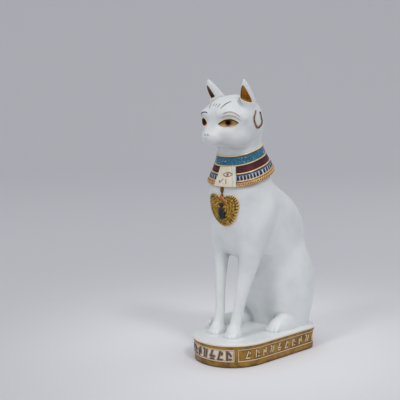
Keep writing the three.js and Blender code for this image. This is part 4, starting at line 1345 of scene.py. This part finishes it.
# A grid between two arcs of the collar, raised more towards its foot by a soft step, its edges rounded down
# by an exponential, with the distances to its marks
def makeCollarPanel():
    form = look = collarPanel
    top = collar["lineHeight"] * 2 + collar["bandHeights"][0]
    tall = collarLength - collar["rimHeight"] * form["overRim"] - top
    part = np.linspace(0, 1, form["columns"])[:, None]
    down = np.r_[0, np.linspace(0, 1, form["rows"]), 1][None, :]
    topAngle = np.radians(form["topFrom"] + (form["topTo"] - form["topFrom"]) * part)
    bottomAngle = np.radians(form["bottomFrom"] + (form["bottomTo"] - form["bottomFrom"]) * part)
    angle = topAngle + (bottomAngle - topAngle) * down
    out = form["raised"] + form["lift"] * smoothStep(down, form["liftFrom"], form["liftTo"]) + 0 * part
    toSide = np.minimum(part, 1 - part) * form["width"]
    toEnd = np.minimum(down, 1 - down) * tall
    out = out - form["edgeDrop"] * np.exp(-np.minimum(toSide, toEnd) / form["edgeRound"])
    out[:, 0] = out[:, -1] = -form["sunk"]
    points = collarPoint(angle, top + tall * down, out)
    x = np.cumsum(np.linalg.norm(np.diff(points, axis=0, prepend=points[:1]), axis=-1), axis=0)
    z = tall * down + 0 * part
    eyeX, eyeZ = x - form["eyeMiddle"][0], z - form["eyeMiddle"][1]
    lens = np.abs(ovalDistance(eyeX, eyeZ, *form["eyeSize"], form["eyeSquare"])) - form["eyeLine"]
    lens = np.minimum(lens, ovalDistance(eyeX, eyeZ, *form["eyeDot"], form["eyeSquare"]))
    start, turn, end = form["tick"]
    violet = np.minimum(strokeDistance(x, z, start, turn), strokeDistance(x, z, turn, end))
    violet = violet - form["tickWidth"]
    grey = strokeDistance(x, z, *form["dash"]) - form["dashWidth"]
    values = dict(right=x[-1:] - x, below=tall - z, lens=lens, violet=violet, grey=grey)
    material, tree, shader = newPaint("collarPanelPaint", look["roughness"])
    place = inMillimetres(tree)
    base = blendColours(tree, ramp(tree, noiseOf(tree, place, 3.0), 0.4, 0.7), look["ivory"], look["peach"])
    stripPatch = ramp(tree, noiseOf(tree, place, 1.5), 0.4, 0.6)
    strip = blendColours(tree, stripPatch, look["stripGreen"], look["ivory"])
    base = paintInside(tree, base, valueOf(tree, "right"), strip, form["strip"], 0.1)
    fromStrip = reckon(tree, "ABSOLUTE", reckon(tree, "SUBTRACT", valueOf(tree, "right"), form["strip"]))
    base = paintInside(tree, base, fromStrip, look["gold"], form["edge"] / 2, 0.12)
    base = paintInside(tree, base, valueOf(tree, "below"), look["gold"], form["edge"], 0.12)
    for name, paint in (("lens", "copper"), ("violet", "violet"), ("grey", "grey")):
        base = paintInside(tree, base, valueOf(tree, name), look[paint], 0.0, 0.14)
    tree.links.new(base, shader.inputs["Base Color"])
    points, faces, values = loft(points, values)
    addPiece("collarPanel", points, faces, material, values)


makeCollarLines()
makeTurquoiseBand()
makeBurgundyBand()
makeNavyBand()
makeCollarRim()
makeCollarPanel()
print("collar ready")


# Points on the chest straight in front of a place across and up
def onChest(x, z, out=0.0):
    x, z, out = np.broadcast_arrays(x, z, out)
    start = np.stack([x, np.zeros(x.shape), z], -1).reshape(-1, 3)
    ray = np.broadcast_to(np.array([0.0, -1.0, 0.0]), x.shape + (3,))
    return alongRays(catField, start, ray, (6.0, 44.0), 77, out.ravel())


# Heart pendant: its size and middle in mm, the lean of its tip, and its feathers in rows that end at these
# parts of the way out
pendant = dict(
    width=28.5, height=22.5, middle=up(50.1), raised=1.3, lean=2.2, sides=420, rings=60, lobePower=1.15,
    notch=0.1, notchWidth=0.16, feathers=38, sway=3.0, swayTurns=9, rows=(0.34, 0.5, 0.66, 0.82),
    rowWidth=0.034, rowDepth=0.3, featherDepth=0.22, gold=colour(200, 152, 52), darkGold=colour(156, 112, 24),
    dark=colour(62, 50, 14), peach=colour(236, 214, 180), plum=colour(150, 96, 120),
    bright=colour(244, 212, 116), rimGold=colour(240, 216, 150), roughness=0.3, metallic=0.55,
)


# Heart outline: lobes from a power of the sine, and a rise of three cosines less a bell at the notch
def heartOutline(a):
    lobes = signedPower(np.sin(a), pendant["lobePower"])
    notch = pendant["notch"] * np.exp(-(np.sin(a / 2) / pendant["notchWidth"]) ** 2)
    rise = 0.52 * np.cos(a) - 0.12 * np.cos(2 * a) - 0.03 * np.cos(3 * a) + 0.09 - notch
    return lobes * pendant["width"] / 2, rise * pendant["height"]


# Rings that shrink to the heart's middle, raised by a cosine of the way in. A bell lowers the end of each
# row, and a cosine that sways with the way out parts the feathers
def makeHeart():
    form = look = pendant
    a = (np.arange(form["sides"]) / form["sides"] * 2 * math.pi)[None, :]
    grow = np.r_[0.9, 1.0, 1.0, np.linspace(0.985, 0.03, form["rings"])][:, None]
    outlineX, outlineZ = heartOutline(a)
    x, z = grow * outlineX, form["middle"] + grow * outlineZ
    x = x + form["lean"] * smoothStep(form["middle"] - z, 0, form["height"] / 2)
    feather = 0.5 + 0.5 * np.cos(a * form["feathers"] - form["sway"] * np.sin(grow * form["swayTurns"]))
    gap = np.zeros(np.broadcast_shapes(a.shape, grow.shape))
    for row in form["rows"]:
        bell = np.exp(-((grow - row) / form["rowWidth"]) ** 2)
        gap = np.maximum(gap, bell * (0.8 + 0.2 * np.cos(a * 7)))
    outer = smoothStep(grow, 0.66, 0.84)
    out = form["raised"] * (0.82 + 0.18 * np.cos(grow * 8)) - form["rowDepth"] * gap
    out = out - form["featherDepth"] * (1 - feather) * outer
    out = out * smoothStep(1 - grow, -0.02, 0.04) ** 0.5
    out[0], out[1], out[2] = -1.5, -0.3, form["raised"] * 0.55
    values = dict(grow=grow + 0 * a, gap=gap, feather=feather, right=outlineX / form["width"] + 0 * grow)
    points, faces, values = loft(onChest(x, z, out), values)
    material, tree, shader = newPaint("pendantGoldPaint", look["roughness"], look["metallic"])
    place = inMillimetres(tree)
    growValue, featherValue = valueOf(tree, "grow"), valueOf(tree, "feather")
    patch = ramp(tree, noiseOf(tree, place, 2.4), 0.35, 0.7)
    base = blendColours(tree, patch, look["gold"], look["darkGold"])
    base = blendColours(tree, ramp(tree, valueOf(tree, "gap"), 0.2, 0.8, 0.0, 0.85), base, look["dark"])
    between = reckon(tree, "MULTIPLY", ramp(tree, featherValue, 0.45, 0.1), ramp(tree, growValue, 0.6, 0.78))
    base = blendColours(tree, reckon(tree, "MULTIPLY", between, 0.85), base, look["dark"])
    ends = reckon(tree, "MULTIPLY", ramp(tree, featherValue, 0.5, 0.9), ramp(tree, growValue, 0.86, 0.93))
    ends = reckon(tree, "MULTIPLY", ends, ramp(tree, valueOf(tree, "right"), 0.0, 0.3, 0.3, 1.0))
    endPatch = ramp(tree, noiseOf(tree, place, 1.6), 0.45, 0.6)
    base = blendColours(tree, ends, base, blendColours(tree, endPatch, look["peach"], look["plum"]))
    # Painted highlights: bright gold in patches of noise
    glints = reckon(tree, "MULTIPLY", ramp(tree, noiseOf(tree, place, 1.6), 0.52, 0.7), 0.7)
    base = blendColours(tree, glints, base, look["bright"])
    rim = ramp(tree, growValue, 0.955, 0.985)
    base = blendColours(tree, reckon(tree, "MULTIPLY", rim, 0.8), base, look["rimGold"])
    tree.links.new(base, shader.inputs["Base Color"])
    addPiece("pendantHeart", points, faces, material, values)


# Low dome on the chest: rings of an oval that shrink by a cosine and rise by a sine, less a groove
def chestDome(x, z, halfWidth, halfHeight, raised, sides=64, rings=18, groove=None):
    a = (np.arange(sides) / sides * 2 * math.pi)[None, :]
    turn = np.linspace(0, 1, rings)[:, None]
    grow = np.r_[[[0.9]], [[1.0]], np.cos(turn * math.pi / 2 * 0.98)]
    out = np.r_[[[-1.2]], [[0.0]], 0.35 * raised + 0.65 * raised * np.sin(turn * math.pi / 2)] + 0 * a
    px, pz = grow * np.cos(a) * halfWidth, grow * np.sin(a) * halfHeight
    if groove is not None:
        out = out - groove(px, pz) * (out > 0.3)
    return loft(onChest(x + px, z + pz, out))


# Scarab on the heart: wing cases with a groove, a head, and three legs on each side by their height and reach
scarab = dict(
    width=6.2, length=9.4, raised=1.6, below=0.1, headWidth=0.32, headHeight=1.6, headForward=1,
    headRaise=0.9, legs=((3.2, 3.4), (0.4, 3.7), (-2.6, 3.3)), legReach=0.85, legSize=(0.95, 0.42),
    legRaise=0.45, groove=0.4, seamWidth=0.22, neckWidth=0.28, black=colour(9, 11, 5), green=colour(26, 31, 9),
    roughness=0.34, coat=0.1,
)


# Depth of the scarab's groove: a bell on the seam between its wings, and one on a parabola behind its head
def wingGroove(x, z):
    seam = np.exp(-(x / scarab["seamWidth"]) ** 2) * smoothStep(-z, -0.6, 0.2)
    neck = np.exp(-((z - 1.0 - 0.1 * x * x) / scarab["neckWidth"]) ** 2)
    return scarab["groove"] * np.maximum(seam, neck)


# Domes for the scarab's body and head, and a small one for each leg
def makeScarab():
    form = look = scarab
    middle = pendant["middle"] - pendant["height"] * form["below"]
    tall = form["raised"] + pendant["raised"]
    halfLength = form["length"] / 2
    forms = [
        chestDome(0, middle, form["width"] / 2, halfLength, tall, 120, 40, wingGroove),
        chestDome(0, middle + halfLength + form["headForward"], form["width"] * form["headWidth"],
                  form["headHeight"], tall * form["headRaise"]),
    ]
    for side in (-1, 1):
        for height, reach in form["legs"]:
            forms.append(chestDome(side * reach * form["legReach"], middle + height, *form["legSize"],
                                   pendant["raised"] + form["legRaise"], 24, 6))
    material, tree, shader = newPaint("scarabPaint", look["roughness"], coat=look["coat"])
    place = inMillimetres(tree)
    base = blendColours(tree, ramp(tree, noiseOf(tree, place, 1.6), 0.4, 0.65), look["black"], look["green"])
    tree.links.new(base, shader.inputs["Base Color"])
    addForms("scarab", forms, material)


# Two links between the collar and the heart, and a small bead: places as parts of the way down
links = dict(width=3.2, raised=1.5, places=(0.28, 0.8), wide=(0.92, 0.7), tall=0.24, foot=0.34,
             bead=(0.55, 1.2), beadPlace=0.55, beadRaise=0.6, gold=colour(160, 104, 22),
             brown=colour(92, 50, 14), roughness=0.3, metallic=0.5)


# A dome on the chest for each link and for the bead
def makeLinks():
    form = look = links
    top = collarPoint(np.array(-math.pi / 2), np.array(collarLength), 0)[2]
    bottom = pendant["middle"] + pendant["height"] * form["foot"]
    forms = []
    for part, wide in zip(form["places"], form["wide"]):
        forms.append(chestDome(0, top + (bottom - top) * part, form["width"] / 2 * wide,
                               (top - bottom) * form["tall"], form["raised"], 48, 14))
    forms.append(chestDome(0, top + (bottom - top) * form["beadPlace"], *form["bead"],
                           form["raised"] * form["beadRaise"], 24, 8))
    material, tree, shader = newPaint("linkGoldPaint", look["roughness"], look["metallic"])
    place = inMillimetres(tree)
    base = blendColours(tree, ramp(tree, noiseOf(tree, place, 1.2), 0.4, 0.62), look["gold"], look["brown"])
    tree.links.new(base, shader.inputs["Base Color"])
    addForms("pendantLinks", forms, material)


# Thin painted line on a surface as a low ridge with its edges sunk: a cross section, carried along a route
# with its outward directions and a half width at each point
def paintedLine(route, outer, halfWidth, height):
    along = np.gradient(route, axis=0)
    aside = np.cross(outer, along)
    aside /= np.linalg.norm(aside, axis=1, keepdims=True)
    across = np.array([-1, -0.6, 0, 0.6, 1, 0])
    rise = np.array([-0.12, height * 0.7, height, height * 0.7, -0.12, -0.3])
    rings = (route[:, None] + aside[:, None] * (across[None, :, None] * halfWidth[:, None, None])
             + outer[:, None] * rise[None, :, None])
    return loft(rings)


# The same on the head along a smooth curve of angles, its width a power of the sine of the way along
def headLine(angles, halfWidth, height=0.08, steps=40, taper=0.35):
    t = np.linspace(0, len(angles) - 1, steps)
    around, rise = smoothCurve([[i, *pair] for i, pair in enumerate(angles)])(t)
    surface = onHead(headField, around, rise)
    outer = slopeOf(headField, surface, 0.3)
    outer /= np.linalg.norm(outer, axis=1, keepdims=True)
    part = np.linspace(0, 1, steps)
    width = halfWidth * (taper + (1 - taper) * np.sin(part * math.pi) ** 0.6)
    return paintedLine(surface, outer, width, height)


# Copper vee over the heart's notch: how far each arm reaches aside and falls, from a place above the middle
pendantVee = dict(arms=((6.6, 5.6), (-2.8, 2.6)), place=0.37, above=1.0, bend=1.1, halfWidth=0.85, taper=0.45,
                  height=0.4, steps=30, paint=colour(196, 118, 76), roughness=0.3, metallic=0.4)


# Each arm falls by a power of the way along, as a painted line
def makePendantVee():
    form = pendantVee
    start = pendant["middle"] + pendant["height"] * form["place"]
    t = np.linspace(0, 1, form["steps"])
    outer = np.tile(np.array([0.0, -1.0, 0.0]), (form["steps"], 1))
    forms = []
    for reach, fall in form["arms"]:
        z = start + form["above"] - fall * t ** form["bend"]
        surface = onChest(reach * t, z, pendant["raised"] * 0.95)
        forms.append(paintedLine(surface, outer, form["halfWidth"] * (1 - form["taper"] * t), form["height"]))
    material, _, shader = newPaint("copperPaint", form["roughness"], form["metallic"])
    shader.inputs["Base Color"].default_value = form["paint"]
    addForms("pendantVee", forms, material)


makeHeart()
makeScarab()
makeLinks()
makePendantVee()
print("pendant ready")

# Eyes: almonds between an inner and an outer corner, in degrees round from the front and up. The pupil, iris
# and rim are in mm, with the length of a degree there
eyeForm = dict(
    inner=(11.0, 2.2), outer=(54.0, 4.8), upper=10.4, lower=8.0, lidPower=2.2, middleRaise=1.4,
    patchWidth=18.7, pupil=(32.4, 5.4), pupilRadius=1.15, iris=2.3, rim=1.0, degreeLength=0.393,
    sides=180, rings=64, bulge=0.5, lid=0.3, lidPlace=0.85, lidWidth=0.07, roughness=0.5,
)
eyePaint = dict(
    amber=colour(138, 96, 40), olive=colour(132, 108, 60), rose=colour(160, 134, 98),
    pale=colour(214, 178, 136), brown=colour(66, 40, 14), black=colour(6, 3, 2), rim=colour(250, 226, 204),
    rimTop=colour(232, 220, 190), line=colour(60, 36, 16), red=colour(62, 14, 14),
)


# Lids rise and fall from the line between the corners by one less a power of the way across. The rings shrink
# to the middle and bulge by one less a square, with a bell for the lid's fold
def makeEyes():
    form, look = eyeForm, eyePaint
    (innerAround, innerRise), (outerAround, outerRise) = form["inner"], form["outer"]
    a = (np.arange(form["sides"]) / form["sides"] * 2 * math.pi)[None, :]
    t = np.cos(a)
    corner = innerRise + (outerRise - innerRise) * (t + 1) / 2
    lids = np.where(np.sin(a) > 0, form["upper"], -form["lower"]) * (1 - np.abs(t) ** form["lidPower"])
    middle = ((innerAround + outerAround) / 2, (innerRise + outerRise) / 2 + form["middleRaise"])
    edgeAround = middle[0] + (outerAround - innerAround) / 2 * t
    edgeRise = corner + lids
    grow = np.r_[1.0, 1.0, np.linspace(0.985, 0.02, form["rings"])][:, None]
    around = middle[0] + (edgeAround - middle[0]) * grow
    rise = middle[1] + (edgeRise - middle[1]) * grow
    lid = np.exp(-((grow - form["lidPlace"]) / form["lidWidth"]) ** 2)
    out = form["bulge"] * (1 - grow ** 2) + form["lid"] * lid - 0.05 + 0 * a
    out[0], out[1] = -0.9, -0.15
    points = onHead(headField, around, rise, out)
    pupil = np.hypot(around - form["pupil"][0], rise - form["pupil"][1]) * form["degreeLength"]
    edge = (1 - grow) * np.hypot(edgeAround - middle[0], edgeRise - middle[1]) * form["degreeLength"]
    values = dict(pupil=pupil, edge=edge, rise=rise, upper=np.sin(a) + 0 * grow,
                  across=(around - middle[0]) / form["patchWidth"])
    points, faces, values = loft(points, values)
    for side, name in ((1, "eyeLeft"), (-1, "eyeRight")):
        material = makeEyePaint(name, form, look, side < 0)
        mirrored = points * np.array([side, 1, 1])
        addPiece(name, mirrored, outward(mirrored, faces), material, values)


# An eye's paint: amber to rose across it, paler at its foot, with soft rings for iris and pupil, and the rim
# with a dark line along it. The far eye is reddened
def makeEyePaint(name, form, look, reddened):
    material, tree, shader = newPaint(name + "Paint", form["roughness"], specular=0.0)
    place = inMillimetres(tree)
    across, pupilAway = valueOf(tree, "across"), valueOf(tree, "pupil")
    base = blendColours(tree, ramp(tree, across, -0.5, -0.1), look["amber"], look["olive"])
    base = blendColours(tree, ramp(tree, across, 0.25, 0.6), base, look["rose"])
    base = blendColours(tree, ramp(tree, valueOf(tree, "rise"), 4.0, 0.5, 0.0, 0.75), base, look["pale"])
    if reddened:
        base = blendColours(tree, 0.85, base, look["red"])
    spots = ramp(tree, noiseOf(tree, place, 0.9), 0.45, 0.7, 0.0, 0.35)
    base = blendColours(tree, spots, base, look["brown"])
    base = paintInside(tree, base, pupilAway, look["brown"], form["iris"], 0.7)
    base = paintInside(tree, base, pupilAway, look["black"], form["pupilRadius"], 0.4)
    lineEnd = ramp(tree, valueOf(tree, "upper"), -0.4, 0.4, form["rim"] + 0.25, form["rim"] + 1.1)
    pastLine = reckon(tree, "SUBTRACT", valueOf(tree, "edge"), lineEnd)
    base = paintInside(tree, base, pastLine, look["line"], 0.0, 0.16)
    rim = blendColours(tree, ramp(tree, valueOf(tree, "upper"), -0.2, 0.4), look["rim"], look["rimTop"])
    base = paintInside(tree, base, valueOf(tree, "edge"), rim, form["rim"], 0.2)
    tree.links.new(base, shader.inputs["Base Color"])
    return material


makeEyes()

# Painted lines of the brows and the forehead: route in degrees round from the front and up, half width in mm
paintedLines = dict(
    brows=dict(paint=colour(164, 156, 140), roughness=0.5, lines=[
        ([(24.5, 18.8), (30.4, 20.3), (38.3, 21.2), (46.3, 18.5), (52.9, 14.1)], 0.62),
        ([(19.9, 12.9), (28.9, 15.2), (36.9, 15.7), (46.3, 13.4), (54.1, 8.0)], 0.4)]),
    farBrow=dict(paint=colour(52, 32, 34), roughness=0.45, lines=[
        ([(-38.0, 14.0), (-30.2, 17.7), (-25.0, 19.9), (-20.5, 21.0), (-16.1, 20.9), (-12.1, 20.0)], 0.62)]),
    forehead=dict(paint=colour(104, 90, 78), roughness=0.4, lines=[
        ([(16.3, 29), (22.9, 37.6), (28.1, 42.6), (35.4, 47.6)], 0.7),
        ([(-13.2, 28.6), (-18.1, 34.7), (-21.4, 39.4)], 0.5),
        ([(-6.4, 40.0), (-7.4, 37.0), (-8.6, 34.0)], 0.42),
        ([(2.0, 39.6), (0.6, 36.4), (-0.8, 33.2)], 0.42),
        ([(10.8, 39.6), (9.0, 35.8), (7.2, 31.6)], 0.48)]),
)


# One piece for each group of lines, its paint worn to white by noise
def makePaintedLines():
    for name, form in paintedLines.items():
        material, tree, shader = newPaint(name + "Paint", form["roughness"])
        place = inMillimetres(tree)
        wearAndShade = ramp(tree, noiseOf(tree, place, 1.4), 0.5, 0.8, 0.0, 0.5)
        base = blendColours(tree, wearAndShade, form["paint"], whiteFinish["white"])
        tree.links.new(base, shader.inputs["Base Color"])
        forms = [headLine(angles, halfWidth) for angles, halfWidth in form["lines"]]
        addForms(name, forms, material)


makePaintedLines()

# Earrings: an open loop of wire laid on each cheek, over pale low ridges. A loop is a radius and a lift in
# mm, and how far it is drawn in to the middle
earring = dict(
    route=[(91, 27.1), (86.2, 19.6), (83.7, 12.2), (87.1, 2.4), (93.7, -4.9), (103.7, -2.2), (110.4, 5.6),
           (107.5, 15.3), (106.4, 24.8)],
    middle=(97.0, 11.0), wire=(0.62, 0.35, 0.0), ridges=((0.42, 0.05, -0.1), (0.4, 0.05, 0.24)), sides=12,
    steps=90, paint=colour(84, 66, 66), bronze=colour(140, 108, 80), pale=colour(214, 196, 188),
    roughness=0.3, metallic=0.3, ridgeRoughness=0.4,
)


# Round tube along the loop: a circle of cosine and sine set across the route at each step
def earringTube(radius, lift, inset):
    form = earring
    t = np.linspace(0, len(form["route"]) - 1, form["steps"])
    around, rise = smoothCurve([[i, *pair] for i, pair in enumerate(form["route"])])(t)
    middle = form["middle"]
    around = middle[0] + (around - middle[0]) * (1 - inset)
    rise = middle[1] + (rise - middle[1]) * (1 - inset)
    centre = onHead(headField, around, rise, lift)
    outer = slopeOf(headField, centre, 0.3)
    outer /= np.linalg.norm(outer, axis=1, keepdims=True)
    along = np.gradient(centre, axis=0)
    aside = np.cross(outer, along)
    aside /= np.linalg.norm(aside, axis=1, keepdims=True)
    turn = np.arange(form["sides"]) / form["sides"] * 2 * math.pi
    rings = centre[:, None] + radius * (aside[:, None] * np.cos(turn)[None, :, None]
                                        + outer[:, None] * np.sin(turn)[None, :, None])
    return loft(rings)


# The wire and its ridges on the left cheek, and both mirrored onto the right
def makeEarrings():
    form = look = earring
    dark, tree, shader = newPaint("earringPaint", look["roughness"], look["metallic"])
    place = inMillimetres(tree)
    base = blendColours(tree, ramp(tree, noiseOf(tree, place, 1.5), 0.42, 0.7), look["paint"], look["bronze"])
    tree.links.new(base, shader.inputs["Base Color"])
    pale, _, paleShader = newPaint("earringRidgePaint", look["ridgeRoughness"])
    paleShader.inputs["Base Color"].default_value = look["pale"]
    for material, slot, name, loops in ((dark, "bronze_line_paint", "earring", [form["wire"]]),
                                        (pale, "cream_paint", "earringRidge", form["ridges"])):
        tubes = [earringTube(*loop) for loop in loops]
        for side, label in ((1, "Left"), (-1, "Right")):
            points, faces, values = gather(tubes)
            points = points * np.array([side, 1, 1])
            addPiece(name + label, points, outward(points, faces), material, values)


makeEarrings()
print("face ready")

# Camera at the photograph's angle: distance from the figure's axis and height in mm, focal length and shift
# in image widths
camera = dict(azimuth=math.radians(44.0), pitch=math.radians(7.37), distance=634.8, height=194.8,
              focal=882 / 400, axisAcross=52.03 / 400, sensor=36.0, near=0.05, far=20)


# It stands on a circle round the figure's axis: the sine and cosine of its angle times the distance
def makeCamera():
    form = camera
    data = bpy.data.cameras.new("photoCamera")
    data.sensor_width = form["sensor"]
    data.lens = form["focal"] * form["sensor"]
    data.shift_x = -form["axisAcross"]
    data.clip_start, data.clip_end = form["near"], form["far"]
    eye = bpy.data.objects.new("photoCamera", data)
    away = form["distance"] * mm
    eye.location = (math.sin(form["azimuth"]) * away, -math.cos(form["azimuth"]) * away, form["height"] * mm)
    eye.rotation_euler = (math.pi / 2 - form["pitch"], 0, form["azimuth"])
    bpy.context.scene.collection.objects.link(eye)
    bpy.context.scene.camera = eye


# Floor and backdrop in one sheet, in metres
studio = dict(floorFront=-1.6, bendStart=1.3, bendRadius=1.2, bendSteps=24, wallTop=3.2, halfWidth=4.0,
              columns=9, colour=colour(228, 228, 232), roughness=0.7, specular=0.2)


# A flat floor, a quarter circle and a wall, carried sideways across the camera's direction
def makeStage():
    form = studio
    bend = np.linspace(0, math.pi / 2, form["bendSteps"])
    run = np.r_[form["floorFront"], form["bendStart"] + form["bendRadius"] * np.sin(bend),
                form["bendStart"] + form["bendRadius"]]
    rise = np.r_[0, form["bendRadius"] * (1 - np.cos(bend)), form["wallTop"]]
    side = np.linspace(-form["halfWidth"], form["halfWidth"], form["columns"])
    away = np.array([-math.sin(camera["azimuth"]), math.cos(camera["azimuth"])])
    across = np.array([math.cos(camera["azimuth"]), math.sin(camera["azimuth"])])
    flat = run[:, None, None] * away + side[None, :, None] * across
    points = np.concatenate([flat, np.broadcast_to(rise[:, None, None], flat.shape[:2] + (1,))], -1)
    columns, rows = len(side), len(run)
    first = np.arange(columns - 1)
    row = np.arange(rows - 1)[:, None] * columns
    quads = np.stack([row + first, row + first + 1, row + first + 1 + columns, row + first + columns], -1)
    mesh = bpy.data.meshes.new("studioFloor")
    mesh.from_pydata(points.reshape(-1, 3).tolist(), [], quads.reshape(-1, 4).tolist())
    mesh.shade_smooth()
    material, _, shader = newPaint("studioPaper", form["roughness"], specular=form["specular"])
    shader.inputs["Base Color"].default_value = form["colour"]
    mesh.materials.append(material)
    floor = bpy.data.objects.new("studioFloor", mesh)
    bpy.context.scene.collection.objects.link(floor)


# Two soft panels from above and behind, and two soft spots on the plinth from both sides of the camera:
# degrees round from the camera and up, distance, size and height of the aim in metres, power in watts
lights = dict(
    top=dict(around=-15, rise=80, away=1.4, size=0.8, power=2.2, height=0.1, tint=(1, 1, 1)),
    back=dict(around=115, rise=50, away=1.5, size=0.8, power=1.6, height=0.1, tint=(1, 1, 1)),
    right=dict(around=30, rise=50, away=0.9, size=0.3, power=21, height=0.02, tint=(1, 1, 1), cone=15),
    left=dict(around=-40, rise=45, away=0.9, size=0.3, power=16, height=0.02, tint=(1, 0.99, 0.98), cone=15),
)
roomLight = dict(tint=colour(226, 228, 232), strength=0.67)


# Each lamp stands away from its aim along the direction of its two angles, and faces the aim
def makeLights():
    for name, form in lights.items():
        aim = np.array([0.0, 0.0, form["height"]])
        around = camera["azimuth"] + math.radians(form["around"])
        rise = math.radians(form["rise"])
        flat = math.cos(rise)
        way = np.array([math.sin(around) * flat, -math.cos(around) * flat, math.sin(rise)])
        data = bpy.data.lights.new(name + "Light", "SPOT" if "cone" in form else "AREA")
        data.energy, data.color = form["power"], form["tint"]
        if "cone" in form:
            data.shadow_soft_size = form["size"] / 2
            data.spot_size, data.spot_blend = math.radians(form["cone"]), 1.0
        else:
            data.shape, data.size = "DISK", form["size"]
        lamp = bpy.data.objects.new(name + "Light", data)
        lamp.location = aim + way * form["away"]
        lamp.rotation_euler = (math.pi / 2 - rise, 0, around)
        bpy.context.scene.collection.objects.link(lamp)
    world = bpy.data.worlds.new("softRoom")
    world.use_nodes = True
    background = world.node_tree.nodes["Background"]
    background.inputs["Color"].default_value = roomLight["tint"]
    background.inputs["Strength"].default_value = roomLight["strength"]
    bpy.context.scene.world = world


makeCamera()
makeStage()
makeLights()
bpy.context.scene.view_settings.view_transform = "Standard"
print("studio ready")
